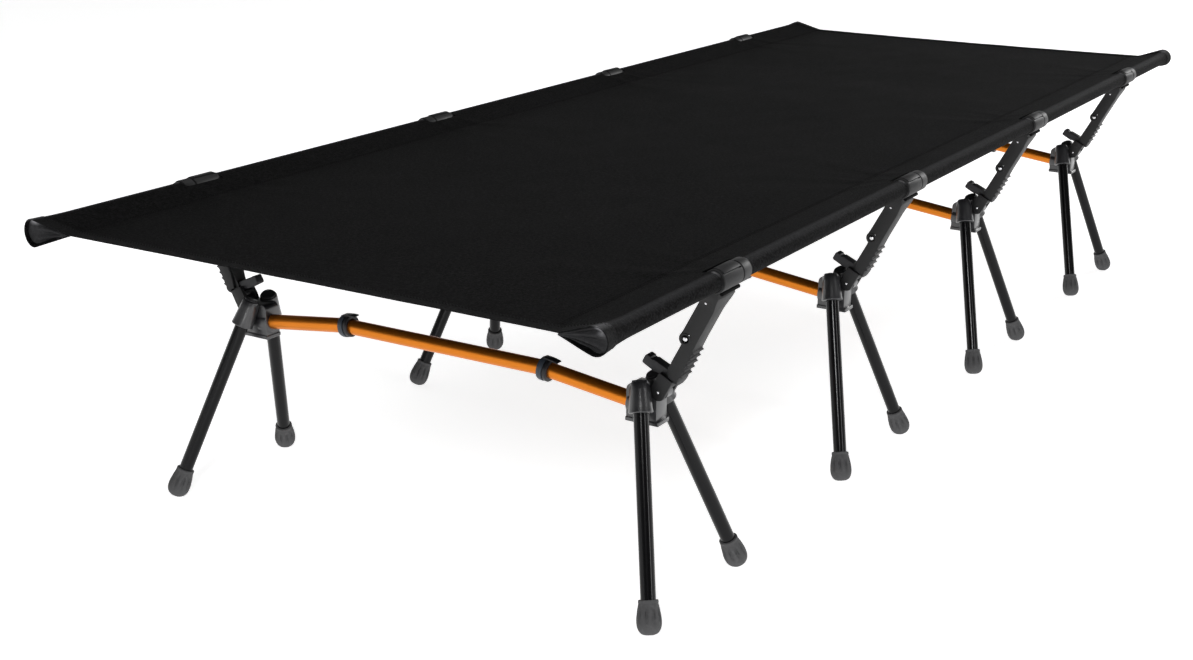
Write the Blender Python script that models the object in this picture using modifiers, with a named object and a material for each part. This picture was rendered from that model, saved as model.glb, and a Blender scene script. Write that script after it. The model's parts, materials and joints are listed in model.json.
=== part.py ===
"""Low camping cot with four lever-locked leg units.

X runs across the cot, Y along it and Z up, in metres, with the origin on the floor
under the middle of the bed. The four leg units are alike. In each one the left half is
the right half turned half a turn about the unit's upright centre line.
"""
import math

import bmesh
import bpy
from mathutils import Matrix, Vector

# Layout of the whole cot
POLE_LENGTH = 1.9800
UNIT_COUNT = 4
UNIT_PITCH = 0.4960
POLE_SPACING = 0.7530
POLE_HEIGHT = 0.3780

# Clearances
FIT_GAP = 0.0003
CRADLE_GAP = 0.00045
SWING_GAP = 0.0005

# Side poles and the moulded collars on them
POLE_RADIUS = 0.0093
POLE_SIDES = 16
COLLAR_RADIUS = 0.0130
COLLAR_HALF_LENGTH = 0.0300
COLLAR_PAD_RISE = 0.0012
COLLAR_PAD_HALF_LENGTH = 0.0190
COLLAR_PAD_WIDTH = 0.0142
COLLAR_PAD_ANGLE = 75.0

# Linkage, seen square to its side: hub pivot, lever pivot and pole axis
PIVOT_INBOARD = 0.0750
PIVOT_DROP = 0.1405
ARM_REACH = 0.0740
PAST_CENTRE = 0.00264

# Arm that stands on the hub pivot
ARM_HALF_WIDTH = 0.0120
CHEEK_INNER = 0.0065
CHEEK_RADIUS = 0.0098
ARM_BACK = 0.0088
ARM_FRONT = 0.0100
ARM_SHOULDER = 0.0211
ARM_WEB_START = 0.0112
ARM_NECK_HALF_WIDTH = 0.0080
ARM_NECK_FRONT = 0.0046
ARM_NECK_BACK = 0.0062
ARM_EYE_RADIUS = 0.0070
HUB_PIN_RADIUS = 0.0025
HUB_PIN_HEAD = 0.0006

# Lever, the long handle that ends in the pole cradle
LEVER_HALF_WIDTH = 0.0120
GRIP_CLEARANCE = 0.0015
GRIP_BACK = 0.0154
GRIP_LIP = 0.0012
GRIP_LIP_LENGTH = 0.0060
GRIP_TONGUE = 0.0042
GRIP_TONGUE_HALF_WIDTH = 0.0055
GRIP_FRONT = 0.0011
GRIP_END_FRONT = 0.0039
NECK_BACK = 0.0133
NECK_FRONT = 0.0070
NECK_LENGTH = 0.0458
HEAD_BACK = 0.0128
HEAD_LENGTH = 0.0652
LEVER_BOSS_RADIUS = 0.0078
LEVER_PIN_RADIUS = 0.0027
LEVER_PIN_HEAD = 0.0005
CHANNEL_DEPTH = 0.0100
CHANNEL_LENGTH = 0.0360
CRADLE_WALL = 0.0042
CRADLE_END_ANGLE = 268.0
CRADLE_HALF_WIDTH = 0.0195
FLARE_LENGTH = 0.0220
TOOTH_COUNT = 5
TOOTH_INSET = 0.0061
TOOTH_PITCH = 0.00786
TOOTH_HEIGHT = 0.0028
TOOTH_HALF_WIDTH = 0.0117

# Release tab on the arm
TAB_ALONG = 0.0204
TAB_INSET = 0.0052
TAB_TILT = 0.0
TAB_LENGTH = 0.0297
TAB_HALF_WIDTH = 0.0062
TAB_ROOT_THICKNESS = 0.0086
TAB_THICKNESS = 0.0115
TAB_TOP_RISE = 0.0015
TAB_BARREL_RADIUS = 0.0046
TAB_NECK_LENGTH = 0.0078
TAB_NOTCH_LENGTH = 0.0075
TAB_NOTCH_DEPTH = 0.0012
TAB_PIN_RADIUS = 0.0014
TAB_SLOT_LOW = 0.0062
TAB_SLOT_HIGH = 0.0084
TAB_SLOT_BACK = 0.0025

# Hub, measured from its pivot
TONGUE_RADIUS = 0.0096
TONGUE_HALF_WIDTH = 0.0060
HUB_HALF_WIDTH = 0.0115
HUB_FACE_INBOARD = 0.0395
HUB_BASE_DROP = 0.0399
HUB_DOME_RISE = 0.0045
FLANGE_THICKNESS = 0.0050
FLANGE_REACH = 0.0010
FLANGE_HALF_WIDTH = 0.0125
SOCKET_RADIUS = 0.0136
SOCKET_TOP_RADIUS = 0.0108
SOCKET_LENGTH = 0.0340
SOCKET_CAP_RADIUS = 0.0088
SOCKET_CAP_HEIGHT = 0.0020
SOCKET_ROOF = 0.0030
SOCKET_SIDES = 10
HUB_OUTER_FACE = 0.0015
FLANGE_OUTER = 0.0015

# Legs, from the socket's top to the foot on the floor
LEG_TOP_INBOARD = 0.0204
LEG_TOP_RISE = 0.0093
LEG_TOP_SPREAD = 0.01524
LEG_RADIUS = 0.0085
LEG_SIDES = 10
FOOT_INBOARD = 0.0315
FOOT_SPREAD = 0.0990
FOOT_RADIUS = 0.0138
FOOT_TOP_RADIUS = 0.0110
FOOT_HEIGHT = 0.0376
FOOT_FLAT_CUT = 0.0008

# Crossbar
BAR_RADIUS = 0.0092
BAR_END_DROP = 0.0188
BAR_MIDDLE_DROP = 0.0038
BAR_KNUCKLE = 0.1445
BAR_INSERT = 0.0150
BAR_BOSS_RADIUS = 0.0140
BAR_BOSS_LENGTH = 0.0210
BAR_RING_RADIUS = 0.0142
BAR_RING_LENGTH = 0.0076
BAR_RING_START = -0.0010
BAR_FLANGE_RADIUS = 0.0137
BAR_FLANGE_LENGTH = 0.0063
BAR_CATCH_LENGTH = 0.0225
BAR_CATCH_RISE = 0.0006
BAR_CATCH_THICKNESS = 0.0024
BAR_CATCH_HALF_WIDTH = 0.0048

# Canvas
CANVAS_THICKNESS = 0.0018
SLEEVE_RADIUS = 0.0105
SLEEVE_SEAM = 0.0530
MOUTH_HALF_WIDTH = 0.0140
MOUTH_HALF_HEIGHT = 0.0164
MOUTH_DROP = 0.0020
MOUTH_FLARE = 0.0200
MOUTH_HEM = 0.0120
MOUTH_WALL = 0.0022
HEM_HOLLOW = 0.0085
WINDOW_SLACK = 0.0005
WINDOW_RADIUS = 0.0156
HOOK_WINDOW_INBOARD = 0.0200
HOOK_WINDOW_SLACK = 0.0015
HOOK_WINDOW_TOP = 0.0040

# Places worked out from the sizes above
POLE_X = POLE_SPACING / 2
POLE_HALF = POLE_LENGTH / 2
PIVOT_X = POLE_X - PIVOT_INBOARD
PIVOT_Z = POLE_HEIGHT - PIVOT_DROP
LINK_LENGTH = math.hypot(PIVOT_INBOARD, PIVOT_DROP)
ALONG = (PIVOT_INBOARD / LINK_LENGTH, PIVOT_DROP / LINK_LENGTH)
OUT = (ALONG[1], -ALONG[0])
GRIP_LENGTH = ARM_REACH - ARM_SHOULDER - GRIP_CLEARANCE
TOOTH_START = GRIP_LENGTH - TOOTH_INSET
UNIT_PLACES = [UNIT_PITCH * (i - (UNIT_COUNT - 1) / 2) for i in range(UNIT_COUNT)]


def link(s, o):
    """Point of the linkage plane: s along the pivot-to-pole line, o outboard of it."""
    return (PIVOT_X + s * ALONG[0] + o * OUT[0], PIVOT_Z + s * ALONG[1] + o * OUT[1])


def arc(centre, radius, start, end, count):
    """Points of an arc in a plane, by angles in degrees."""
    points = []
    for i in range(count + 1):
        angle = math.radians(start + (end - start) * i / count)
        points.append((centre[0] + radius * math.cos(angle), centre[1] + radius * math.sin(angle)))
    return points


def link_arc(centre, radius, start, end, count):
    """The same in (s, o) coordinates of the linkage plane."""
    return [link(s, o) for s, o in arc(centre, radius, start, end, count)]


LEVER_PIVOT = link(ARM_REACH, -PAST_CENTRE)
TAB_PIVOT = link(TAB_ALONG, -TAB_INSET)
POLE_CENTRE = (POLE_X, POLE_HEIGHT)


# Scene, collections and materials
for old in list(bpy.data.objects):
    bpy.data.objects.remove(old, do_unlink=True)

PARTS = bpy.data.collections.new("camping_cot")
CUTTERS = bpy.data.collections.new("cutters")
bpy.context.scene.collection.children.link(PARTS)
bpy.context.scene.collection.children.link(CUTTERS)


def material(name, colour, roughness, metallic):
    made = bpy.data.materials.new(name)
    made.use_nodes = True
    shader = made.node_tree.nodes["Principled BSDF"]
    shader.inputs["Base Color"].default_value = (*colour, 1.0)
    shader.inputs["Roughness"].default_value = roughness
    shader.inputs["Metallic"].default_value = metallic
    return made


CANVAS_BLACK = material("canvas_black", (0.020, 0.020, 0.022), 0.85, 0.0)
POLE_GREY = material("pole_grey", (0.085, 0.085, 0.090), 0.45, 0.2)
BAR_ORANGE = material("bar_orange", (0.62, 0.115, 0.030), 0.32, 0.75)
GLOSS_BLACK = material("gloss_black", (0.018, 0.018, 0.020), 0.28, 0.0)
LEG_BLACK = material("leg_black", (0.022, 0.022, 0.025), 0.30, 0.6)
LEVER_GREY = material("lever_grey", (0.075, 0.077, 0.082), 0.55, 0.0)
TAB_BLACK = material("tab_black", (0.012, 0.012, 0.013), 0.40, 0.0)


# Shapes
def new_object(name, mesh, collection=CUTTERS):
    made = bpy.data.objects.new(name, mesh)
    collection.objects.link(made)
    if collection is CUTTERS:
        made.hide_render = True
        made.display_type = "WIRE"
    return made


def mesh_from(name, bm):
    mesh = bpy.data.meshes.new(name)
    bm.to_mesh(mesh)
    bm.free()
    return mesh


def box(name, low, high):
    """Box between two corners."""
    bm = bmesh.new()
    size = [high[i] - low[i] for i in range(3)]
    middle = [(high[i] + low[i]) / 2 for i in range(3)]
    place = Matrix.Translation(middle) @ Matrix.Diagonal((*size, 1.0))
    bmesh.ops.create_cube(bm, size=1.0, matrix=place)
    return new_object(name, mesh_from(name, bm))


def rod(name, start, end, radius, sides, end_radius=None):
    """Cylinder or cone between two points."""
    start = Vector(start)
    end = Vector(end)
    span = end - start
    turn = span.to_track_quat("Z", "Y").to_matrix().to_4x4()
    bm = bmesh.new()
    bmesh.ops.create_cone(
        bm,
        cap_ends=True,
        segments=sides,
        radius1=radius,
        radius2=radius if end_radius is None else end_radius,
        depth=span.length,
        matrix=Matrix.Translation((start + end) / 2) @ turn,
    )
    return new_object(name, mesh_from(name, bm))


def cross_rod(name, centre, half_length, radius, sides):
    """Cylinder along Y about a point of the linkage plane."""
    return rod(name, (centre[0], -half_length, centre[1]), (centre[0], half_length, centre[1]), radius, sides)


def prism(name, outline, low, high):
    """Outline in X and Z, filled and drawn out along Y from low to high."""
    curve = bpy.data.curves.new(name + "_outline", "CURVE")
    curve.dimensions = "2D"
    curve.fill_mode = "BOTH"
    curve.extrude = (high - low) / 2
    spline = curve.splines.new("POLY")
    spline.points.add(len(outline) - 1)
    for point, (x, z) in zip(spline.points, outline):
        point.co = (x, z, 0.0, 1.0)
    spline.use_cyclic_u = True
    flat = new_object(name + "_outline", curve)
    flat.matrix_world = Matrix.Translation((0, (low + high) / 2, 0)) @ Matrix.Rotation(math.pi / 2, 4, "X")
    bpy.context.view_layer.update()
    graph = bpy.context.evaluated_depsgraph_get()
    mesh = bpy.data.meshes.new_from_object(flat.evaluated_get(graph))
    mesh.transform(flat.matrix_world)
    bm = bmesh.new()
    bm.from_mesh(mesh)
    bmesh.ops.remove_doubles(bm, verts=bm.verts, dist=0.000001)
    bmesh.ops.dissolve_limit(bm, angle_limit=math.radians(0.5), verts=bm.verts, edges=bm.edges)
    bmesh.ops.recalc_face_normals(bm, faces=bm.faces)
    bpy.data.objects.remove(flat)
    return new_object(name, mesh_from(name, bm))


def combine(body, *steps):
    """Join, cut or intersect a body with others, in order, and return its final mesh."""
    for operation, tool in steps:
        change = body.modifiers.new(tool.name, "BOOLEAN")
        change.operation = operation
        change.object = tool
        change.solver = "EXACT"
    bpy.context.view_layer.update()
    graph = bpy.context.evaluated_depsgraph_get()
    return bpy.data.meshes.new_from_object(body.evaluated_get(graph))


def finished(mesh, name, look, origin, smooth_angle=35.0):
    """Give a mesh its material and shading, and move its origin to the given point."""
    mesh.name = name
    mesh.materials.clear()
    mesh.materials.append(look)
    mesh.transform(Matrix.Translation(-Vector(origin)))
    mesh.shade_smooth()
    mesh.set_sharp_from_angle(angle=math.radians(smooth_angle))
    return mesh


# Hub: central block, crossbar boss, flange, leg sockets, and the tongue that carries the arm
def hub_point(x, z):
    return (PIVOT_X + x, PIVOT_Z + z)


LEG_TOP = Vector((PIVOT_X - LEG_TOP_INBOARD, LEG_TOP_SPREAD, PIVOT_Z + LEG_TOP_RISE))
FOOT_CENTRE = Vector((POLE_X - FOOT_INBOARD, FOOT_SPREAD, FOOT_RADIUS - FOOT_FLAT_CUT))
LEG_LINE = (FOOT_CENTRE - LEG_TOP).normalized()
BAR_FACE = Vector((PIVOT_X - HUB_FACE_INBOARD, 0.0, PIVOT_Z - BAR_END_DROP))
BAR_BEND = Vector((BAR_KNUCKLE, 0.0, PIVOT_Z - BAR_MIDDLE_DROP))
BAR_LINE = (BAR_FACE - BAR_BEND).normalized()
BAR_END = BAR_FACE + BAR_LINE * BAR_INSERT


def mirrored(point, sign):
    return Vector((point[0], point[1] * sign, point[2]))


def make_hub():
    dome = HUB_DOME_RISE
    face = -HUB_FACE_INBOARD
    base = -HUB_BASE_DROP + FLANGE_THICKNESS / 2
    outline = [hub_point(face, base), hub_point(-HUB_OUTER_FACE, base)]
    outline.append(hub_point(-HUB_OUTER_FACE, -CHEEK_RADIUS - SWING_GAP))
    outline.append(hub_point(-HUB_OUTER_FACE, -TONGUE_RADIUS * 0.6))
    outline.append(hub_point(-TONGUE_RADIUS * 0.68, TONGUE_RADIUS * 0.6))
    outline.append(hub_point(-TONGUE_RADIUS * 1.2, dome))
    outline.append(hub_point(face + 0.0085, dome))
    outline.append(hub_point(face + 0.0030, dome - 0.0020))
    outline.append(hub_point(face, dome - 0.0065))
    body = prism("hub_block", outline, -HUB_HALF_WIDTH, HUB_HALF_WIDTH)
    low = (PIVOT_X + face - FLANGE_REACH, -FLANGE_HALF_WIDTH, PIVOT_Z - HUB_BASE_DROP)
    high = (PIVOT_X + FLANGE_OUTER, FLANGE_HALF_WIDTH, low[2] + FLANGE_THICKNESS)
    steps = [("UNION", box("hub_flange", low, high))]
    boss_end = BAR_FACE + BAR_LINE * BAR_BOSS_LENGTH
    steps.append(("UNION", rod("hub_boss", BAR_FACE, boss_end, BAR_BOSS_RADIUS, 14)))
    for side in (-1, 1):
        top = mirrored(LEG_TOP, side)
        line = mirrored(LEG_LINE, side)
        bottom = top + line * SOCKET_LENGTH
        socket = rod("hub_socket", top, bottom, SOCKET_TOP_RADIUS, SOCKET_SIDES, SOCKET_RADIUS)
        cap = rod("hub_cap", top + line * 0.002, top - line * SOCKET_CAP_HEIGHT, SOCKET_CAP_RADIUS, 8)
        steps += [("UNION", socket), ("UNION", cap)]
    slots = []
    reach = CHEEK_RADIUS + SWING_GAP
    for side in (-1, 1):
        inner = TONGUE_HALF_WIDTH
        outer = ARM_HALF_WIDTH + HUB_PIN_HEAD + SWING_GAP
        ends = sorted((side * inner, side * outer))
        sides = [link(0.0, -ARM_FRONT - SWING_GAP), link(ARM_SHOULDER, -ARM_FRONT - SWING_GAP)]
        sides += [link(ARM_SHOULDER, ARM_BACK), link(0.0, ARM_BACK)]
        slots.append(prism("hub_slot", sides, *ends))
        ring = [(PIVOT_X, ends[0], PIVOT_Z), (PIVOT_X, ends[1], PIVOT_Z)]
        slots.append(rod("hub_slot_ring", ring[0], ring[1], reach / math.cos(math.pi / 14), 14))
    steps += [("DIFFERENCE", slot) for slot in slots]
    steps.append(("UNION", cross_rod("hub_tongue", (PIVOT_X, PIVOT_Z), TONGUE_HALF_WIDTH, TONGUE_RADIUS, 12)))
    hole_radius = (HUB_PIN_RADIUS + FIT_GAP) / math.cos(math.pi / 8)
    steps.append(("DIFFERENCE", cross_rod("hub_pin_hole", (PIVOT_X, PIVOT_Z), 0.02, hole_radius, 8)))
    leg_bore = (LEG_RADIUS + FIT_GAP) / math.cos(math.pi / SOCKET_SIDES)
    for side in (-1, 1):
        top = mirrored(LEG_TOP, side)
        line = mirrored(LEG_LINE, side)
        bore = rod("hub_leg_bore", top + line * SOCKET_ROOF, top + line * SOCKET_LENGTH * 2, leg_bore, SOCKET_SIDES)
        steps.append(("DIFFERENCE", bore))
    bore_start = BAR_FACE - BAR_LINE * BAR_INSERT
    bore_end = BAR_END + BAR_LINE * FIT_GAP
    bar_bore = (BAR_RADIUS + FIT_GAP) / math.cos(math.pi / 12)
    steps.append(("DIFFERENCE", rod("hub_bar_bore", bore_start, bore_end, bar_bore, 12)))
    return finished(combine(body, *steps), "hub", GLOSS_BLACK, (PIVOT_X, 0, PIVOT_Z))


# Leg: tube and moulded foot turned about one line, cut flat on the floor
def make_leg():
    length = (FOOT_CENTRE - LEG_TOP).length - SOCKET_ROOF - FIT_GAP
    ball = FOOT_RADIUS
    profile = [(0.0, length), (LEG_RADIUS, length)]
    profile.append((LEG_RADIUS, FOOT_HEIGHT - ball))
    profile.append((FOOT_TOP_RADIUS, FOOT_HEIGHT - ball - 0.001))
    profile.append((FOOT_TOP_RADIUS, FOOT_HEIGHT - ball - 0.006))
    profile.append((ball, 0.0))
    for angle in (32.0, 60.0):
        profile.append((ball * math.cos(math.radians(angle)), -ball * math.sin(math.radians(angle))))
    profile.append((0.0, -ball))
    bm = bmesh.new()
    points = [bm.verts.new((r, 0.0, z)) for r, z in profile]
    for i in range(len(points) - 1):
        bm.edges.new((points[i], points[i + 1]))
    body = new_object("leg_profile", mesh_from("leg_profile", bm))
    turn = body.modifiers.new("turn", "SCREW")
    turn.steps = LEG_SIDES
    turn.render_steps = LEG_SIDES
    turn.use_merge_vertices = True
    turn.merge_threshold = 0.00001
    lean = math.acos(-LEG_LINE.z)
    body.matrix_world = Matrix.Translation((0, 0, FOOT_CENTRE.z)) @ Matrix.Rotation(-lean, 4, "Y")
    floor = box("leg_floor", (-0.05, -0.05, -0.05), (0.05, 0.05, 0.0))
    mesh = combine(body, ("DIFFERENCE", floor))
    mesh.transform(body.matrix_world)
    return finished(mesh, "leg", LEG_BLACK, (0, 0, 0))


# Arm: fork on the hub tongue, neck inside the lever, and an eye for the lever pin
def make_arm():
    outline = link_arc((0.0, 0.0), CHEEK_RADIUS, 245.0, 115.0, 5)
    outline += [link(0.004, ARM_BACK), link(ARM_SHOULDER, ARM_BACK)]
    outline += [link(ARM_SHOULDER, -ARM_FRONT + 0.001), link(0.008, -ARM_FRONT)]
    body = prism("arm_fork", outline, -ARM_HALF_WIDTH, ARM_HALF_WIDTH)
    eye = (ARM_REACH, -PAST_CENTRE)
    neck = [link(ARM_SHOULDER - 0.006, -ARM_NECK_FRONT)]
    neck.append(link(ARM_REACH - ARM_EYE_RADIUS - 0.0015, -ARM_NECK_FRONT))
    neck += link_arc(eye, ARM_EYE_RADIUS, -100.0, 90.0, 5)
    neck += [link(ARM_REACH - 0.014, ARM_NECK_BACK), link(ARM_SHOULDER - 0.006, ARM_NECK_BACK)]
    steps = [("UNION", prism("arm_neck", neck, -ARM_NECK_HALF_WIDTH, ARM_NECK_HALF_WIDTH))]
    gap = [link(-0.02, -0.02), link(-0.02, 0.02), link(ARM_WEB_START, 0.02), link(ARM_WEB_START, -0.02)]
    steps.append(("DIFFERENCE", prism("arm_gap", gap, -CHEEK_INNER, CHEEK_INNER)))
    low = TAB_ALONG - TAB_SLOT_LOW
    high = TAB_ALONG + TAB_SLOT_HIGH
    slot = [link(low, -0.03), link(low, TAB_SLOT_BACK), link(high, TAB_SLOT_BACK), link(high, -0.03)]
    steps.append(("DIFFERENCE", prism("arm_tab_slot", slot, -CHEEK_INNER, CHEEK_INNER)))
    hole = (LEVER_PIN_RADIUS + FIT_GAP) / math.cos(math.pi / 8)
    steps.append(("DIFFERENCE", cross_rod("arm_eye_hole", LEVER_PIVOT, 0.02, hole, 8)))
    pin_half = ARM_HALF_WIDTH + HUB_PIN_HEAD
    steps.append(("UNION", cross_rod("arm_hub_pin", (PIVOT_X, PIVOT_Z), pin_half, HUB_PIN_RADIUS, 8)))
    tab_pin = cross_rod("arm_tab_pin", TAB_PIVOT, ARM_NECK_HALF_WIDTH - 0.0003, TAB_PIN_RADIUS, 6)
    steps.append(("UNION", tab_pin))
    return finished(combine(body, *steps), "arm", LEVER_GREY, (PIVOT_X, 0, PIVOT_Z))


# Lever: channel handle with ribs, flaring into the cradle under the pole
def make_lever():
    outer = COLLAR_RADIUS + CRADLE_GAP + CRADLE_WALL
    inner = COLLAR_RADIUS + CRADLE_GAP
    px = POLE_CENTRE[0]
    pz = POLE_CENTRE[1]
    corner = math.radians(CRADLE_END_ANGLE)
    corner_low = (px + outer * math.cos(corner), pz + outer * math.sin(corner))
    corner_high = (px + inner * 0.97 * math.cos(corner), pz + inner * 0.97 * math.sin(corner))
    # The side view, from the grip's end up its front, round the cradle and down its back
    behind_arm = PAST_CENTRE + ARM_BACK + SWING_GAP
    end = -GRIP_LENGTH - GRIP_TONGUE
    outline = [handle(end, GRIP_BACK + GRIP_LIP), handle(end, behind_arm)]
    outline += [handle(-GRIP_LENGTH, behind_arm), handle(-GRIP_LENGTH, GRIP_END_FRONT)]
    outline += [handle(-GRIP_LENGTH + 0.0181, -GRIP_FRONT), handle(-LEVER_BOSS_RADIUS - 0.0035, -GRIP_FRONT)]
    for angle in (190.0, 218.0, 246.0, 274.0):
        turn = math.radians(angle)
        outline.append(handle(LEVER_BOSS_RADIUS * math.cos(turn), LEVER_BOSS_RADIUS * math.sin(turn)))
    outline += [handle(LEVER_BOSS_RADIUS, -NECK_FRONT), handle(NECK_LENGTH, -NECK_FRONT)]
    outline += [(px - outer, pz), (px - inner * 0.95, pz), (px - inner * 0.3, pz - inner * 0.3)]
    outline += [corner_high, corner_low]
    outline += [handle(HEAD_LENGTH, HEAD_BACK), handle(LEVER_BOSS_RADIUS, NECK_BACK)]
    teeth_end = -TOOTH_START + TOOTH_PITCH * TOOTH_COUNT
    outline += [handle(teeth_end, back_of_grip(teeth_end)), handle(-TOOTH_START, back_of_grip(-TOOTH_START))]
    outline.append(handle(-GRIP_LENGTH + GRIP_LIP_LENGTH * 0.8, GRIP_BACK + GRIP_LIP * 0.6))
    body = prism("lever_side", outline, -CRADLE_HALF_WIDTH, CRADLE_HALF_WIDTH)
    # Seen square to its back, the handle has one width and the head flares out
    mould = rod("lever_back_view", link3(0.0, -0.05), link3(0.0, 0.05), 0.01, 4)
    mould.data = back_view_mesh(ARM_REACH + HEAD_LENGTH - FLARE_LENGTH, ARM_REACH + HEAD_LENGTH)
    steps = [("INTERSECT", mould)]
    half = TOOTH_HALF_WIDTH
    teeth = [handle(-TOOTH_START, back_of_grip(-TOOTH_START) - 0.001)]
    teeth.append(handle(-TOOTH_START, back_of_grip(-TOOTH_START) - 0.0001))
    for i in range(TOOTH_COUNT):
        tip = -TOOTH_START + TOOTH_PITCH * (i + 0.6)
        foot = -TOOTH_START + TOOTH_PITCH * (i + 0.64)
        teeth.append(handle(tip, back_of_grip(tip) + TOOTH_HEIGHT))
        teeth.append(handle(foot, back_of_grip(foot) - 0.0001))
    teeth.append(handle(teeth_end - TOOTH_PITCH * 0.3, back_of_grip(teeth_end) - 0.001))
    steps.append(("UNION", prism("lever_teeth", teeth, -half, half)))
    hollow = [handle(-0.08, -0.03), handle(-0.08, CHANNEL_DEPTH), handle(CHANNEL_LENGTH, CHANNEL_DEPTH)]
    hollow += [handle(CHANNEL_LENGTH + 0.003, CHANNEL_DEPTH - 0.004), handle(CHANNEL_LENGTH + 0.003, -0.03)]
    hollow_half = ARM_NECK_HALF_WIDTH + FIT_GAP
    steps.append(("DIFFERENCE", prism("lever_channel", hollow, -hollow_half, hollow_half)))
    cradle = cross_rod("lever_cradle", POLE_CENTRE, 0.05, inner / math.cos(math.pi / 20), 20)
    steps.append(("DIFFERENCE", cradle))
    pin_half = LEVER_HALF_WIDTH + LEVER_PIN_HEAD
    steps.append(("UNION", cross_rod("lever_pin", LEVER_PIVOT, pin_half, LEVER_PIN_RADIUS, 8)))
    origin = (LEVER_PIVOT[0], 0, LEVER_PIVOT[1])
    return finished(combine(body, *steps), "lever", LEVER_GREY, origin)


def handle(s, o):
    """Point of the lever at rest, from its own pivot: s towards the pole, o outboard."""
    return link(ARM_REACH + s, o - PAST_CENTRE)


def back_of_grip(s):
    """Outboard face of the grip, which slopes from its end to the neck."""
    share = (s + TOOTH_START) / (TOOTH_START + LEVER_BOSS_RADIUS)
    return GRIP_BACK + (NECK_BACK - GRIP_BACK) * share


def link3(s, o, y=0.0):
    x, z = link(s, o)
    return (x, y, z)


def back_view_mesh(flare_start, flare_end):
    """Solid with the lever's outline as seen from its back, deep enough to hold its side view."""
    bm = bmesh.new()
    end = ARM_REACH - GRIP_LENGTH - GRIP_TONGUE
    side = (GRIP_TONGUE_HALF_WIDTH + LEVER_HALF_WIDTH) / 2 + 0.001
    stations = [(end - 0.0005, GRIP_TONGUE_HALF_WIDTH), (end + GRIP_TONGUE * 0.4, side)]
    stations += [(end + GRIP_TONGUE * 1.3, LEVER_HALF_WIDTH), (flare_start, LEVER_HALF_WIDTH)]
    stations += [(flare_end, CRADLE_HALF_WIDTH), (LINK_LENGTH + 0.02, CRADLE_HALF_WIDTH)]
    rings = []
    for s, half in stations:
        corners = ((half, -0.05), (half, 0.05), (-half, 0.05), (-half, -0.05))
        rings.append([bm.verts.new(link3(s, o, y)) for y, o in corners])
    for low, high in zip(rings, rings[1:]):
        for i in range(4):
            j = (i + 1) % 4
            bm.faces.new((low[i], low[j], high[j], high[i]))
    bm.faces.new(reversed(rings[0]))
    bm.faces.new(rings[-1])
    bmesh.ops.recalc_face_normals(bm, faces=bm.faces)
    return mesh_from("lever_back_view", bm)


# Release tab: barrel on the arm's cross pin, a bar and a raised end
def make_tab():
    tilt = math.radians(TAB_TILT)

    def at(u, v):
        s = TAB_ALONG + u * math.sin(tilt) + v * math.cos(tilt)
        o = -TAB_INSET - u * math.cos(tilt) + v * math.sin(tilt)
        return link(s, o)

    root = TAB_ROOT_THICKNESS / 2
    half = TAB_THICKNESS / 2
    top = half + TAB_TOP_RISE
    barrel = TAB_BARREL_RADIUS
    notch = TAB_LENGTH - TAB_NOTCH_LENGTH
    outline = [at(TAB_NECK_LENGTH, -root), at(TAB_NECK_LENGTH + 0.0035, -half), at(TAB_LENGTH - 0.002, -half)]
    outline += [at(TAB_LENGTH, -half + 0.002), at(TAB_LENGTH, half - 0.003), at(TAB_LENGTH - 0.0015, half)]
    outline += [at(notch + 0.0010, half + 0.0003), at(notch, half - TAB_NOTCH_DEPTH + 0.0003)]
    outline += [at(notch - 0.0025, half - TAB_NOTCH_DEPTH + 0.0003), at(notch - 0.0035, half + 0.0005)]
    outline += [at(barrel * 0.3, top), at(-barrel * 0.4, top - 0.0015)]
    outline += arc_at(at, barrel, 135.0, 290.0, 4)
    body = prism("tab_side", outline, -TAB_HALF_WIDTH, TAB_HALF_WIDTH)
    hole = (TAB_PIN_RADIUS + FIT_GAP) / math.cos(math.pi / 6)
    bore = cross_rod("tab_bore", TAB_PIVOT, 0.02, hole, 6)
    origin = (TAB_PIVOT[0], 0, TAB_PIVOT[1])
    return finished(combine(body, ("DIFFERENCE", bore)), "tab", TAB_BLACK, origin)


def arc_at(place_of, radius, start, end, count):
    """Arc about the origin of the given coordinates."""
    return [place_of(u, v) for u, v in arc((0.0, 0.0), radius, start, end, count)]


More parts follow.
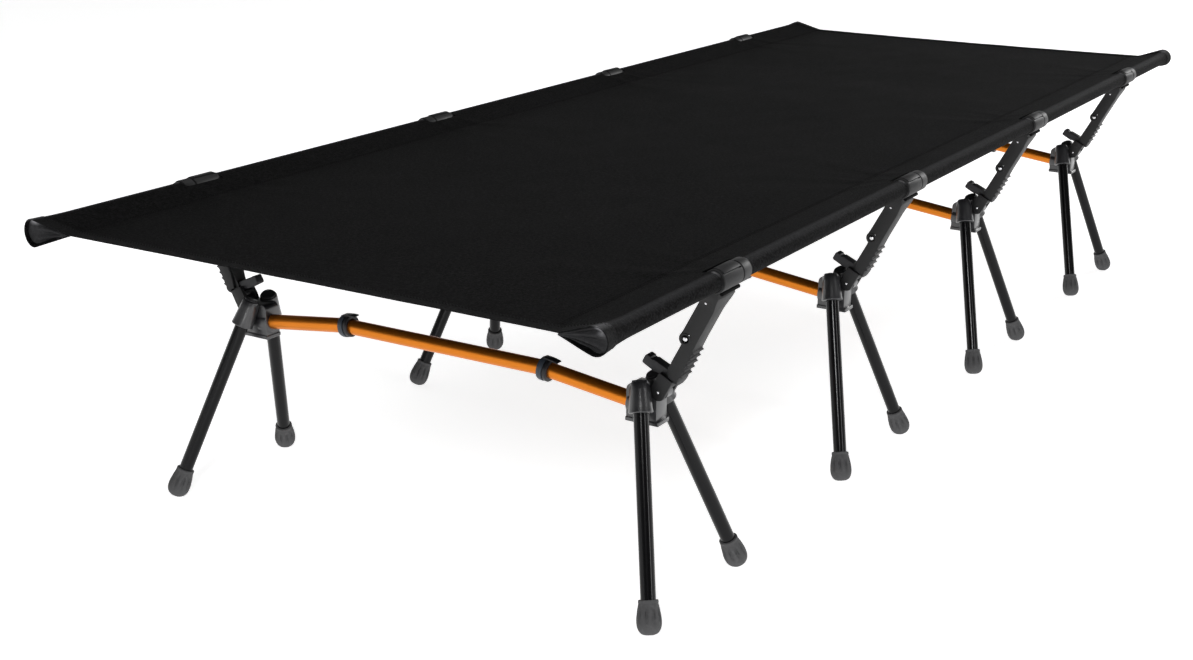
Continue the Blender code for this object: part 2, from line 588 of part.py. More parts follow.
# Crossbar: tube with a shallow bend at each joint, where a ring, a flange and a catch sit
def make_crossbar():
    curve = bpy.data.curves.new("crossbar_line", "CURVE")
    curve.dimensions = "3D"
    curve.bevel_depth = BAR_RADIUS
    curve.bevel_resolution = 4
    curve.use_fill_caps = True
    spline = curve.splines.new("POLY")
    line = [(-BAR_END.x, 0, BAR_END.z), (-BAR_BEND.x, 0, BAR_BEND.z)]
    line += [(BAR_BEND.x, 0, BAR_BEND.z), (BAR_END.x, 0, BAR_END.z)]
    spline.points.add(len(line) - 1)
    for point, place in zip(spline.points, line):
        point.co = (*place, 1.0)
    tube = new_object("crossbar_line", curve)
    bpy.context.view_layer.update()
    graph = bpy.context.evaluated_depsgraph_get()
    mesh = bpy.data.meshes.new_from_object(tube.evaluated_get(graph))
    bm = bmesh.new()
    bm.from_mesh(mesh)
    bmesh.ops.remove_doubles(bm, verts=bm.verts, dist=0.000001)
    bmesh.ops.recalc_face_normals(bm, faces=bm.faces)
    body = new_object("crossbar_tube", mesh_from("crossbar_tube", bm))
    bpy.data.objects.remove(tube)
    steps = []
    for side in (-1, 1):
        bend = Vector((side * BAR_BEND.x, 0, BAR_BEND.z))
        # Both joints face the same way, with the ring towards -X and the catch towards +X
        line = Vector((BAR_LINE.x, 0, side * BAR_LINE.z))
        start = bend + line * BAR_RING_START
        middle = start + line * BAR_RING_LENGTH
        ring = rod("bar_ring", start, middle, BAR_RING_RADIUS, 14)
        flange_end = middle + line * BAR_FLANGE_LENGTH
        flange = rod("bar_flange", middle - line * 0.001, flange_end, BAR_FLANGE_RADIUS, 14)
        catch_top = BAR_RING_RADIUS + BAR_CATCH_RISE
        low = (BAR_RING_LENGTH * 0.35, -BAR_CATCH_HALF_WIDTH, catch_top - BAR_CATCH_THICKNESS)
        catch = box("bar_catch", low, (BAR_CATCH_LENGTH, BAR_CATCH_HALF_WIDTH, catch_top))
        lean = Matrix.Rotation(-math.atan2(line.z, line.x), 4, "Y")
        catch.data.transform(Matrix.Translation(start) @ lean)
        steps += [("UNION", ring), ("UNION", flange), ("UNION", catch)]
    mesh = combine(body, *steps)
    return finished(mesh, "crossbar", BAR_ORANGE, (0, 0, BAR_BEND.z))


# Side pole with its collars, turned about its own length
def make_pole():
    profile = [(0.0, POLE_HALF), (POLE_RADIUS, POLE_HALF)]
    for place in reversed(UNIT_PLACES):
        for end in (COLLAR_HALF_LENGTH, -COLLAR_HALF_LENGTH):
            radii = (POLE_RADIUS, COLLAR_RADIUS) if end > 0 else (COLLAR_RADIUS, POLE_RADIUS)
            profile += [(radii[0], place + end), (radii[1], place + end)]
    profile += [(POLE_RADIUS, -POLE_HALF), (0.0, -POLE_HALF)]
    bm = bmesh.new()
    points = [bm.verts.new((r, 0.0, y)) for r, y in profile]
    for i in range(len(points) - 1):
        bm.edges.new((points[i], points[i + 1]))
    body = new_object("pole_profile", mesh_from("pole_profile", bm))
    turn = body.modifiers.new("turn", "SCREW")
    turn.steps = POLE_SIDES
    turn.render_steps = POLE_SIDES
    turn.use_merge_vertices = True
    turn.merge_threshold = 0.00001
    body.matrix_world = Matrix.Rotation(-math.pi / 2, 4, "X")
    angle = math.radians(COLLAR_PAD_ANGLE)
    steps = []
    for place in UNIT_PLACES:
        half = COLLAR_PAD_HALF_LENGTH
        low = (COLLAR_RADIUS * 0.6, place - half, -COLLAR_PAD_WIDTH / 2)
        pad = box("collar_pad", low, (COLLAR_RADIUS + COLLAR_PAD_RISE, place + half, COLLAR_PAD_WIDTH / 2))
        pad.data.transform(Matrix.Rotation(-angle, 4, "Y"))
        steps.append(("UNION", pad))
    mesh = combine(body, *steps)
    mesh.transform(body.matrix_world)
    return finished(mesh, "pole", POLE_GREY, (0, 0, 0))


# Canvas: panel and two sleeves lofted along the cot, then bored and cut open at the levers
def sleeve_half(half_width, half_height, drop, count):
    """Upper points of the right sleeve's outline, from the seam to its outermost point."""
    points = []
    seam = SLEEVE_SEAM
    first = math.degrees(math.asin(min(1.0, half_height / seam))) + 90.0
    for i in range(count + 1):
        angle = math.radians(first * (1.0 - i / count))
        points.append((half_width * math.cos(angle), half_height * math.sin(angle), drop))
    return points


def canvas_ring(half_width, half_height, drop):
    """Matching upper and lower points across the whole canvas, from left to right."""
    thin = CANVAS_THICKNESS / 2
    bulge = sleeve_half(half_width, half_height, drop, 5)
    edge = POLE_X - SLEEVE_SEAM * 1.08
    flat = [edge, edge * 0.6, edge * 0.3]
    upper = []
    lower = []
    for x, z, down in reversed(bulge):
        upper.append((-POLE_X - x, POLE_HEIGHT - down + z))
        lower.append((-POLE_X - x, POLE_HEIGHT - down - z))
    for x in [-v for v in flat] + [0.0] + flat[::-1]:
        upper.append((x, POLE_HEIGHT + thin))
        lower.append((x, POLE_HEIGHT - thin))
    for x, z, down in bulge:
        upper.append((POLE_X + x, POLE_HEIGHT - down + z))
        lower.append((POLE_X + x, POLE_HEIGHT - down - z))
    return upper, lower


def make_canvas():
    end = POLE_HALF + FIT_GAP + MOUTH_WALL + MOUTH_HEM
    stations = []
    for sign in (-1, 1):
        plain = (SLEEVE_RADIUS, SLEEVE_RADIUS, 0.0)
        wide = (MOUTH_HALF_WIDTH, MOUTH_HALF_HEIGHT, MOUTH_DROP)
        rows = [(sign * (end - MOUTH_HEM - MOUTH_FLARE), plain, 0.0)]
        rows += [(sign * (end - MOUTH_HEM), wide, 0.3), (sign * end, wide, 1.0)]
        stations += rows[::-1] if sign < 0 else rows
    bm = bmesh.new()
    rings = []
    for y, sizes, share in stations:
        upper, lower = canvas_ring(*sizes)
        made = []
        for row in (upper, lower):
            verts = []
            for x, z in row:
                # The end hem is drawn in between the two sleeves
                part = min(1.0, abs(x) / (POLE_X - SLEEVE_SEAM))
                pull = share * HEM_HOLLOW * (1.0 - 0.45 * part * part) if part < 1.0 else 0.0
                verts.append(bm.verts.new((x, y - math.copysign(pull, y), z)))
            made.append(verts)
        rings.append(made)
    for near, far in zip(rings, rings[1:]):
        for i in range(len(near[0]) - 1):
            bm.faces.new((near[0][i], near[0][i + 1], far[0][i + 1], far[0][i]))
            bm.faces.new((near[1][i + 1], near[1][i], far[1][i], far[1][i + 1]))
    for made in (rings[0], rings[-1]):
        for i in range(len(made[0]) - 1):
            bm.faces.new((made[0][i], made[0][i + 1], made[1][i + 1], made[1][i]))
    bmesh.ops.remove_doubles(bm, verts=bm.verts, dist=0.000001)
    bmesh.ops.recalc_face_normals(bm, faces=bm.faces)
    bmesh.ops.triangulate(bm, faces=bm.faces)
    body = new_object("canvas_body", mesh_from("canvas_body", bm))
    steps = []
    bore_half = POLE_HALF + FIT_GAP
    for side in (-1, 1):
        x = side * POLE_X
        ends = ((x, -bore_half, POLE_HEIGHT), (x, bore_half, POLE_HEIGHT))
        bore = (POLE_RADIUS + FIT_GAP) / math.cos(math.pi / POLE_SIDES)
        steps.append(("DIFFERENCE", rod("sleeve_bore", *ends, bore, POLE_SIDES)))
        for place in UNIT_PLACES:
            half = COLLAR_HALF_LENGTH + WINDOW_SLACK
            ends = ((x, place - half, POLE_HEIGHT), (x, place + half, POLE_HEIGHT))
            steps.append(("DIFFERENCE", rod("collar_window", *ends, WINDOW_RADIUS, 14)))
            half = CRADLE_HALF_WIDTH + HOOK_WINDOW_SLACK
            inner = side * (POLE_X - HOOK_WINDOW_INBOARD)
            outer = side * (POLE_X + 0.05)
            low = (min(inner, outer), place - half, POLE_HEIGHT - 0.05)
            high = (max(inner, outer), place + half, POLE_HEIGHT + HOOK_WINDOW_TOP)
            steps.append(("DIFFERENCE", box("hook_window", low, high)))
        for sign in (-1, 1):
            mouth = mouth_cutter(x, sign * end, sign)
            steps.append(("DIFFERENCE", mouth))
    return finished(combine(body, *steps), "canvas", CANVAS_BLACK, (0, 0, 0), 30.0)


def mouth_cutter(x, end, sign):
    """Oval recess in a sleeve's end, in front of the pole's tip."""
    inner = end - sign * MOUTH_HEM
    made = rod("sleeve_mouth", (x, inner, 0.0), (x, end + sign * 0.01, 0.0), 1.0, 12)
    wall = MOUTH_WALL
    wide = MOUTH_HALF_WIDTH - wall
    tall = MOUTH_HALF_HEIGHT - wall
    for vert in made.data.vertices:
        vert.co.x = x + (vert.co.x - x) * wide
        vert.co.z = POLE_HEIGHT - MOUTH_DROP + vert.co.z * tall
    return made


# Placing
def place(name, mesh, parent, location, turn=0.0):
    made = new_object(name, mesh, PARTS)
    made.parent = parent
    made.location = location
    made.rotation_euler = (0.0, 0.0, turn)
    return made


def frame(name, parent, location, turn=0.0):
    made = bpy.data.objects.new(name, None)
    PARTS.objects.link(made)
    made.parent = parent
    made.location = location
    made.rotation_euler = (0.0, 0.0, turn)
    return made


def build():
    cot = frame("cot_frame", None, (0, 0, 0))
    place("canvas", make_canvas(), cot, (0, 0, 0))
    pole = make_pole()
    place("pole_right", pole, cot, (POLE_X, 0, POLE_HEIGHT))
    place("pole_left", pole, cot, (-POLE_X, 0, POLE_HEIGHT), math.pi)
    hub = make_hub()
    leg = make_leg()
    arm = make_arm()
    lever = make_lever()
    tab = make_tab()
    crossbar = make_crossbar()
    azimuth = math.atan2(LEG_LINE.y, LEG_LINE.x)
    arm_to_lever = (LEVER_PIVOT[0] - PIVOT_X, 0, LEVER_PIVOT[1] - PIVOT_Z)
    arm_to_tab = (TAB_PIVOT[0] - PIVOT_X, 0, TAB_PIVOT[1] - PIVOT_Z)
    for i, y in enumerate(UNIT_PLACES):
        unit = frame("unit_%d" % (i + 1), cot, (0, y, 0))
        place("crossbar_%d" % (i + 1), crossbar, unit, (0, 0, BAR_BEND.z))
        for side, turn in (("right", 0.0), ("left", math.pi)):
            tag = "%s_%d" % (side, i + 1)
            half = frame("half_" + tag, unit, (0, 0, 0), turn)
            place("hub_" + tag, hub, half, (PIVOT_X, 0, PIVOT_Z))
            # On the turned half, the leg that lies at +Y here is the one nearer the end at -Y
            for sign in (-1, 1):
                spot = (FOOT_CENTRE.x, sign * FOOT_CENTRE.y, 0)
                near = sign < 0 if side == "right" else sign > 0
                name = "leg_%s_%s" % (tag, "near" if near else "far")
                place(name, leg, half, spot, sign * azimuth)
            swing = place("arm_" + tag, arm, half, (PIVOT_X, 0, PIVOT_Z))
            place("lever_" + tag, lever, swing, arm_to_lever)
            place("tab_" + tag, tab, swing, arm_to_tab)
    bpy.context.view_layer.update()


build()
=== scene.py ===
"""Camping cot: the finished look of every piece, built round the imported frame.

X runs across the cot, Y along it and Z up, in metres. The pieces of one half of a leg unit are
made once, for the right half of a unit at Y = 0, and then placed eight times: the left half is
the right half turned half a turn about the unit's upright centre line.
"""
import json
import math

import bmesh
import bpy
from bpy.props import FloatProperty, FloatVectorProperty, IntProperty, PointerProperty
from mathutils import Matrix, Vector


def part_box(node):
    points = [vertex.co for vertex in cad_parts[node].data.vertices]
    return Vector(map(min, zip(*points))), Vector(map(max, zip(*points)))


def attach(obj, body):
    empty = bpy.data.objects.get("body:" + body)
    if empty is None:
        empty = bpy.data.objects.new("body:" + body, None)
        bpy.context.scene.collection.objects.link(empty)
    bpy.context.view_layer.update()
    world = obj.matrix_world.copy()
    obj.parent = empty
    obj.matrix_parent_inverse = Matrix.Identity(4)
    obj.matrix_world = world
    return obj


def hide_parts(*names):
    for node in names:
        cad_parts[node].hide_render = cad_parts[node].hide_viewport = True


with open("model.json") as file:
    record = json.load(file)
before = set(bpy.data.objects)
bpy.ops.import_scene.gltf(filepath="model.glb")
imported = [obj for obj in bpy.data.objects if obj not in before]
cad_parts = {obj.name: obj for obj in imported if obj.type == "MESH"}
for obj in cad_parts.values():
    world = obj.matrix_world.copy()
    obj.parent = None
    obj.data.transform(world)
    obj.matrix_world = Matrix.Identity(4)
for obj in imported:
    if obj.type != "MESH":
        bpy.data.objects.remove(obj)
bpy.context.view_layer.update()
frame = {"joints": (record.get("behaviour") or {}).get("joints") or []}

bl_info = {
    "name": "Camping cot",
    "version": (1, 0, 0),
    "blender": (4, 5, 0),
    "location": "View3D > Sidebar > Camping cot",
    "description": "Builds the cot's fabric, tubes, mouldings, stage and camera",
    "category": "Object",
}

# Places that the frame gives
HINGES = {joint["name"]: Vector(joint["pos_m"]) for joint in frame["joints"]}
UNIT_COUNT = 4
UNIT_PLACES = [HINGES["arm_lean_right_%d" % (i + 1)].y for i in range(UNIT_COUNT)]
POLE_LOW, POLE_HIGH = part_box("pole_right")
COLLAR_RADIUS = (POLE_HIGH.x - POLE_LOW.x) / 2
POLE = Vector(((POLE_HIGH.x + POLE_LOW.x) / 2, 0.0, POLE_LOW.z + COLLAR_RADIUS))
POLE_HALF = POLE_HIGH.y
CLOTH_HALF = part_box("canvas")[1].y


def flat(point):
    """The point moved to the unit's middle plane."""
    return Vector((point.x, 0.0, point.z))


HUB_PIVOT = flat(HINGES["arm_lean_right_1"])
LEVER_PIVOT = flat(HINGES["lever_swing_right_1"])
TAB_PIVOT = flat(HINGES["tab_press_right_1"])
ALONG = (POLE - HUB_PIVOT).normalized()
OUT = Vector((ALONG.z, 0.0, -ALONG.x))
ARM_REACH = (LEVER_PIVOT - HUB_PIVOT).dot(ALONG)
PAST_CENTRE = -(LEVER_PIVOT - HUB_PIVOT).dot(OUT)

# Lever, from its own pivot: lengths towards the pole, depths outboard
GRIP_LENGTH = 0.0514
GRIP_TONGUE = 0.0042
GRIP_TONGUE_HALF_WIDTH = 0.0055
GRIP_END = -GRIP_LENGTH - GRIP_TONGUE
TONGUE_FLARE = GRIP_TONGUE * 1.4
GRIP_BACK = 0.0154
GRIP_LIP = 0.0012
LEVER_HALF_WIDTH = 0.0120
NECK_BACK = 0.0133
NECK_FRONT = 0.0070
NECK_LENGTH = 0.0458
HEAD_BACK = 0.0128
HEAD_LENGTH = 0.0652
HEAD_HALF_WIDTH = 0.0195
FLARE_LENGTH = 0.0220
BOSS_RADIUS = 0.0078
CRADLE_GAP = 0.00045
CRADLE_WALL = 0.0042
CRADLE_END = 268.0
LINER_WALL = 0.0020
LINER_BEAD = 0.0023
LINER_BEAD_ANGLE = 281.0
LINER_START = 178.0
TOOTH_COUNT = 5
TOOTH_START = 0.0453
TOOTH_PITCH = 0.00786
TOOTH_HEIGHT = 0.0028
TOOTH_HALF_WIDTH = 0.0117
CHANNEL_DEPTH = 0.0100
CHANNEL_START = 0.0800
CHANNEL_LENGTH = 0.0360
CHANNEL_HALF_WIDTH = 0.0083
TOP_RIVET = (0.0504, 0.0010)
SIDE_RIVET = (0.0063, 0.0016)

# Arm, from the hub's pivot
ARM_HALF_WIDTH = 0.0120
ARM_BACK = 0.0088
ARM_FRONT = 0.0100
ARM_SHOULDER = 0.0211
CHEEK_RADIUS = 0.0098
CHEEK_INNER = 0.0065
WEB_START = 0.0112
ARM_NECK_HALF_WIDTH = 0.0080
ARM_NECK_FRONT = 0.0046
ARM_NECK_BACK = 0.0062
ARM_EYE_RADIUS = 0.0070

# Release tab, from its own pivot
TAB_LENGTH = 0.0297
TAB_HALF_WIDTH = 0.0062
TAB_THICKNESS = 0.0115
TAB_ROOT_THICKNESS = 0.0086
TAB_TOP_RISE = 0.0015
TAB_BARREL_RADIUS = 0.0046
TAB_NECK_LENGTH = 0.0078
TAB_NOTCH_LENGTH = 0.0075
TAB_NOTCH_DEPTH = 0.0012

# Hub, from its pivot
HUB_HALF_WIDTH = 0.0115
HUB_FACE_INBOARD = 0.0395
HUB_BASE_DROP = 0.0399
HUB_DOME_RISE = 0.0045
FLANGE_THICKNESS = 0.0050
FLANGE_HALF_WIDTH = 0.0125
SOCKET_RADIUS = 0.0136
SOCKET_TOP_RADIUS = 0.0108
SOCKET_LENGTH = 0.0340
CAP_RADIUS = 0.0088
CAP_HEIGHT = 0.0020
TONGUE_RADIUS = 0.0096
TONGUE_HALF_WIDTH = 0.0060
SWING_GAP = 0.0005

# Legs and crossbar
LEG_TOP = HUB_PIVOT + Vector((-0.0204, 0.01524, 0.0093))
FOOT_FLAT_CUT = 0.0008
FOOT_INBOARD = 0.0315
FOOT_SPREAD = 0.0990
BAR_FACE = HUB_PIVOT + Vector((-HUB_FACE_INBOARD, 0.0, -0.0188))
BAR_BEND = Vector((0.1445, 0.0, HUB_PIVOT.z - 0.0038))
BAR_LINE = (BAR_FACE - BAR_BEND).normalized()
BAR_BOSS_RADIUS = 0.0140
BAR_BOSS_LENGTH = 0.0150
RING_START = -0.0010
RING_RADIUS = 0.0142
RING_LENGTH = 0.0076
RING_FLANGE_RADIUS = 0.0137
RING_FLANGE_LENGTH = 0.0063
CATCH_LENGTH = 0.0225
CATCH_RISE = 0.0006

# Signs of the ends along Y and of the long sides across X
ENDS = (("near", -1), ("far", 1))
SIDES = (("right", 1), ("left", -1))

# Camera, in the photograph's frame
PHOTO_WIDTH = 1193
SENSOR_WIDTH = 36.0
FOCAL_PIXELS = 1686.48
CAMERA_PLACE = Vector((1.1477, -2.2426, 0.8604))
CAMERA_AZIMUTH = 31.8612
CAMERA_PITCH = 17.8997
CAMERA_ROLL = 0.1992
CLIP_START = 0.05
CLIP_END = 60.0


# Sizes and colours that a user would change
class CotSizes(bpy.types.PropertyGroup):
    sleeve_radius: FloatProperty(
        name="Sleeve radius",
        description="Radius of the fabric where it goes round a pole",
        default=0.0102,
        unit="LENGTH",
    )
    seam_inset: FloatProperty(
        name="Seam inset",
        description="Distance from a pole's axis to the seam that closes its sleeve",
        default=0.0530,
        unit="LENGTH",
    )
    cloth_thickness: FloatProperty(
        name="Cloth thickness",
        description="Thickness of the bed's fabric",
        default=0.0008,
        unit="LENGTH",
    )
    hem_width: FloatProperty(
        name="Hem width",
        description="Width of the folded hem at each end of the bed",
        default=0.0190,
        unit="LENGTH",
    )
    thread_pitch: FloatProperty(
        name="Thread pitch",
        description="Distance between neighbouring threads of the weave",
        default=0.0010,
        unit="LENGTH",
    )
    stitch_length: FloatProperty(
        name="Stitch length",
        description="Distance from one stitch to the next",
        default=0.0040,
        unit="LENGTH",
    )
    pole_radius: FloatProperty(
        name="Pole radius",
        description="Radius of the side poles",
        default=0.0093,
        unit="LENGTH",
    )
    leg_radius: FloatProperty(
        name="Leg radius",
        description="Radius of the leg tubes",
        default=0.0085,
        unit="LENGTH",
    )
    bar_radius: FloatProperty(
        name="Crossbar radius",
        description="Radius of the crossbar tubes",
        default=0.0092,
        unit="LENGTH",
    )
    collar_half_length: FloatProperty(
        name="Collar half length",
        description="Half the length of a moulded collar on a pole",
        default=0.0300,
        unit="LENGTH",
    )
    foot_radius: FloatProperty(
        name="Foot radius",
        description="Widest radius of a rubber foot",
        default=0.0138,
        unit="LENGTH",
    )
    foot_height: FloatProperty(
        name="Foot height",
        description="Height of a rubber foot along its leg",
        default=0.0376,
        unit="LENGTH",
    )
    edge_radius: FloatProperty(
        name="Edge radius",
        description="Rounding of the edges of the mouldings",
        default=0.0006,
        unit="LENGTH",
    )
    round_steps: IntProperty(
        name="Round steps",
        description="Sides of a tube or a turned piece",
        default=32,
        min=12,
    )


class CotColours(bpy.types.PropertyGroup):
    cloth: FloatVectorProperty(
        name="Cloth",
        description="Bed fabric",
        default=(0.0045, 0.0045, 0.0047),
        subtype="COLOR",
    )
    # Hems and bindings are folds of the bed's own fabric; their lighter colour is a painted sheen where the
    # folds catch the light
    hem: FloatVectorProperty(
        name="Hem",
        description="Folded hems and bindings",
        default=(0.0150, 0.0150, 0.0155),
        subtype="COLOR",
    )
    orange: FloatVectorProperty(
        name="Orange tube",
        description="Anodised crossbars",
        default=(0.80, 0.235, 0.016),
        subtype="COLOR",
    )
    gloss: FloatVectorProperty(
        name="Gloss black",
        description="Hub mouldings",
        default=(0.012, 0.012, 0.014),
        subtype="COLOR",
    )
    leg: FloatVectorProperty(
        name="Leg tube",
        description="Black anodised legs",
        default=(0.005, 0.005, 0.0056),
        subtype="COLOR",
    )
    grip: FloatVectorProperty(
        name="Lever",
        description="Grey lever and arm mouldings",
        default=(0.0085, 0.0085, 0.0091),
        subtype="COLOR",
    )
    joint: FloatVectorProperty(
        name="Joint ring",
        description="Blue-grey rings on the crossbars",
        default=(0.042, 0.053, 0.068),
        subtype="COLOR",
    )
    rubber: FloatVectorProperty(
        name="Rubber",
        description="Feet",
        default=(0.070, 0.070, 0.072),
        subtype="COLOR",
    )
    pole: FloatVectorProperty(
        name="Pole",
        description="Side poles",
        default=(0.060, 0.060, 0.065),
        subtype="COLOR",
    )


def sizes():
    return bpy.context.scene.cot_sizes


def colours():
    return bpy.context.scene.cot_colours


# Shader trees, written as expressions
class Wire:
    """One output of a shader tree; arithmetic on it adds Math nodes."""

    def __init__(self, look, socket):
        self.look = look
        self.socket = socket

    def maths(self, operation, *values):
        return self.look.node("ShaderNodeMath", {"operation": operation}, dict(enumerate(values)))

    def __add__(self, other):
        return self.maths("ADD", self, other)

    def __radd__(self, other):
        return self.maths("ADD", other, self)

    def __sub__(self, other):
        return self.maths("SUBTRACT", self, other)

    def __rsub__(self, other):
        return self.maths("SUBTRACT", other, self)

    def __mul__(self, other):
        return self.maths("MULTIPLY", self, other)

    def __rmul__(self, other):
        return self.maths("MULTIPLY", other, self)

    def sine(self):
        return self.maths("SINE", self)

    def size(self):
        return self.maths("ABSOLUTE", self)


class Look:
    """A material and the one way that nodes are added to it."""

    def __init__(self, name, metallic=0.0, roughness=0.5, specular=0.5):
        self.material = bpy.data.materials.new(name)
        self.material.use_nodes = True
        self.tree = self.material.node_tree
        self.shader = self.tree.nodes["Principled BSDF"]
        self.set("Metallic", metallic)
        self.set("Roughness", roughness)
        self.set("Specular IOR Level", specular)

    def set(self, name, value):
        self.feed(self.shader.inputs[name], value)

    def feed(self, socket, value):
        if isinstance(value, Wire):
            self.tree.links.new(value.socket, socket)
        elif isinstance(value, (tuple, list)) and len(value) == 3 and socket.type == "RGBA":
            socket.default_value = (*value, 1.0)
        else:
            socket.default_value = value

    def node(self, kind, settings=None, values=None, output=0):
        made = self.tree.nodes.new(kind)
        for name, value in (settings or {}).items():
            if name == "stops":
                for element, (place, tone) in zip(made.color_ramp.elements, value):
                    element.position = place
                    element.color = (tone, tone, tone, 1.0)
            else:
                setattr(made, name, value)
        for name, value in (values or {}).items():
            self.feed(made.inputs[name], value)
        return Wire(self, made.outputs[output])

    def place(self):
        return self.node("ShaderNodeTexCoord", output="Object")

    def own_map(self, name):
        return self.node("ShaderNodeUVMap", {"uv_map": name})

    def parts(self, vector):
        split = self.node("ShaderNodeSeparateXYZ", values={0: vector})
        outputs = split.socket.node.outputs
        return [Wire(self, outputs[i]) for i in range(3)]

    def stretched(self, vector, scale):
        return self.node("ShaderNodeMapping", values={"Vector": vector, "Scale": scale})

    def noise(self, vector, scale, detail=3.0, roughness=0.5):
        values = {"Vector": vector, "Scale": scale, "Detail": detail, "Roughness": roughness}
        return self.node("ShaderNodeTexNoise", values=values)

    def mix(self, factor, first, second):
        made = self.node("ShaderNodeMix", {"data_type": "RGBA"}, output=2)
        inputs = made.socket.node.inputs
        self.feed(inputs[0], factor)
        self.feed(inputs[6], first)
        self.feed(inputs[7], second)
        return made

    def ramp(self, value, low, high):
        return self.node("ShaderNodeValToRGB", {"stops": [(low, 0.0), (high, 1.0)]}, {0: value})

    def bump(self, height, strength, distance, under=None):
        values = {"Height": height, "Strength": strength, "Distance": distance}
        if under is not None:
            values["Normal"] = under
        return self.node("ShaderNodeBump", values=values)


def tint(colour, factor):
    """A colour made lighter or darker."""
    return tuple(min(1.0, channel * factor) for channel in colour)


CLOTH_SPECULAR = 0.03
CLOTH_SHEEN = 0.004
# Painted highlight along the top of each pole: how much lighter the cloth's colour is made there, the
# band's half width and its shift outboard of the pole's axis
PAINTED_HIGHLIGHT_TINT = 12.0
PAINTED_HIGHLIGHT_HALF_WIDTH = 0.0075
PAINTED_HIGHLIGHT_OUTBOARD = 0.0020


def painted_highlight_over_pole(look, place):
    """Mask of a painted highlight: 1 along the top of each pole, where the cloth catches the light, fading
    to 0 beside it.
    """
    x, _, z = look.parts(place)
    aside = (x.size() - (POLE.x + PAINTED_HIGHLIGHT_OUTBOARD)).size() * (1.0 / PAINTED_HIGHLIGHT_HALF_WIDTH)
    above = (z - POLE.z) * (1.0 / sizes().sleeve_radius)
    return look.ramp(1.0 - aside, 0.05, 0.95) * look.ramp(above, 0.3, 0.8)


def woven(name, colour, dark=0.25, light=5.0, roughness=0.74):
    """Plain weave with uneven yarns and a soft sheen, on the cloth's own map in metres, with a highlight
    painted along the top of each pole.
    """
    look = Look(name, roughness=roughness, specular=CLOTH_SPECULAR)
    pitch = sizes().thread_pitch
    across, along, _ = look.parts(look.own_map("cloth"))
    turn = math.pi / pitch
    over = (across * turn).sine() * (along * turn).sine()
    yarns = over * 0.5 + 0.5
    place = look.place()
    slubs = look.noise(look.stretched(place, (1.0, 8.0, 1.0)), 260.0, 2.0)
    threads = look.noise(look.stretched(place, (8.0, 1.0, 1.0)), 260.0, 2.0)
    speckle = look.ramp(look.noise(place, 420.0, 3.0, 0.7), 0.44, 0.68)
    mottle = look.ramp(look.noise(place, 225.0, 2.0, 0.6), 0.36, 0.68)
    cloudy = look.noise(place, 9.0, 3.0)
    share = yarns * 0.24 + (slubs + threads) * 0.20 + speckle * 0.50 + mottle * 0.28 + cloudy * 0.12 - 0.45
    # Painted highlight: the base colour is mixed towards a much lighter tint along the top of each pole,
    # where light catches the cloth; there the cloth is also made a little less rough
    painted_highlight = painted_highlight_over_pole(look, place)
    shade = look.mix(share, tint(colour, dark), tint(colour, light))
    look.set("Base Color", look.mix(painted_highlight * (0.55 + share * 0.45), shade, tint(colour, PAINTED_HIGHLIGHT_TINT)))
    look.set("Roughness", roughness + (cloudy - 0.5) * 0.14 + (yarns - 0.5) * 0.08 - painted_highlight * 0.12)
    weave = look.bump(over, 0.45, pitch * 0.16)
    uneven = look.bump(mottle, 0.24, pitch * 0.4, weave)
    look.set("Normal", look.bump(slubs + threads, 0.35, pitch * 0.2, uneven))
    look.set("Sheen Weight", CLOTH_SHEEN)
    look.set("Sheen Roughness", 0.45)
    return look.material


def thread(name, colour):
    """Twisted sewing thread."""
    look = Look(name, roughness=0.9, specular=CLOTH_SPECULAR)
    twist = look.noise(look.place(), 2400.0, 1.0)
    look.set("Base Color", look.mix(twist, tint(colour, 0.7), tint(colour, 1.5)))
    look.set("Normal", look.bump(twist, 0.4, 0.0002))
    return look.material


def moulded(name, colour, roughness, grain, wear=0.25, specular=0.32):
    """Moulded plastic with an eroded grain, faint flow marks and light rubbing."""
    look = Look(name, roughness=roughness, specular=specular)
    place = look.place()
    fine = look.noise(place, 1400.0, 2.0)
    flow = look.noise(place, 55.0, 3.0)
    rubbed = look.ramp(look.noise(place, 160.0, 4.0, 0.65), 0.58, 0.80)
    share = flow * 0.5 + fine * 0.3 + rubbed * wear - 0.05
    look.set("Base Color", look.mix(share, tint(colour, 0.72), tint(colour, 1.5)))
    look.set("Roughness", roughness + (flow - 0.5) * 0.16 - rubbed * 0.10 + (fine - 0.5) * grain * 0.3)
    look.set("Normal", look.bump(fine, 0.55 * grain, 0.00012, look.bump(flow, 0.15, 0.0006)))
    return look.material


def glossy(name, colour, roughness=0.24):
    """Polished moulding with faint sink marks and handling smears."""
    look = Look(name, roughness=roughness, specular=0.85)
    place = look.place()
    sink = look.noise(place, 60.0, 2.0)
    smear = look.ramp(look.noise(place, 70.0, 3.0, 0.5), 0.40, 0.90)
    look.set("Base Color", look.mix(smear * 0.5 + sink * 0.3, tint(colour, 0.8), tint(colour, 1.45)))
    look.set("Roughness", roughness + smear * 0.05 + (sink - 0.5) * 0.03)
    look.set("Normal", look.bump(sink, 0.02, 0.0003))
    look.set("Coat Weight", 0.35)
    look.set("Coat Roughness", 0.14)
    return look.material


def anodised(name, colour, metallic, roughness, streak=0.5, specular=0.5):
    """Drawn and anodised tube, with fine lines along it on its own map."""
    look = Look(name, metallic=metallic, roughness=roughness, specular=specular)
    lines = look.noise(look.stretched(look.own_map("tube"), (1500.0, 12.0, 1.0)), 1.0, 1.0)
    place = look.place()
    cloudy = look.noise(place, 30.0, 3.0)
    share = lines * streak + cloudy * 0.3
    look.set("Base Color", look.mix(share, tint(colour, 0.80), tint(colour, 1.22)))
    look.set("Roughness", roughness + (lines - 0.5) * streak * 0.10 + (cloudy - 0.5) * 0.04)
    look.set("Normal", look.bump(cloudy, 0.02, 0.00002))
    return look.material


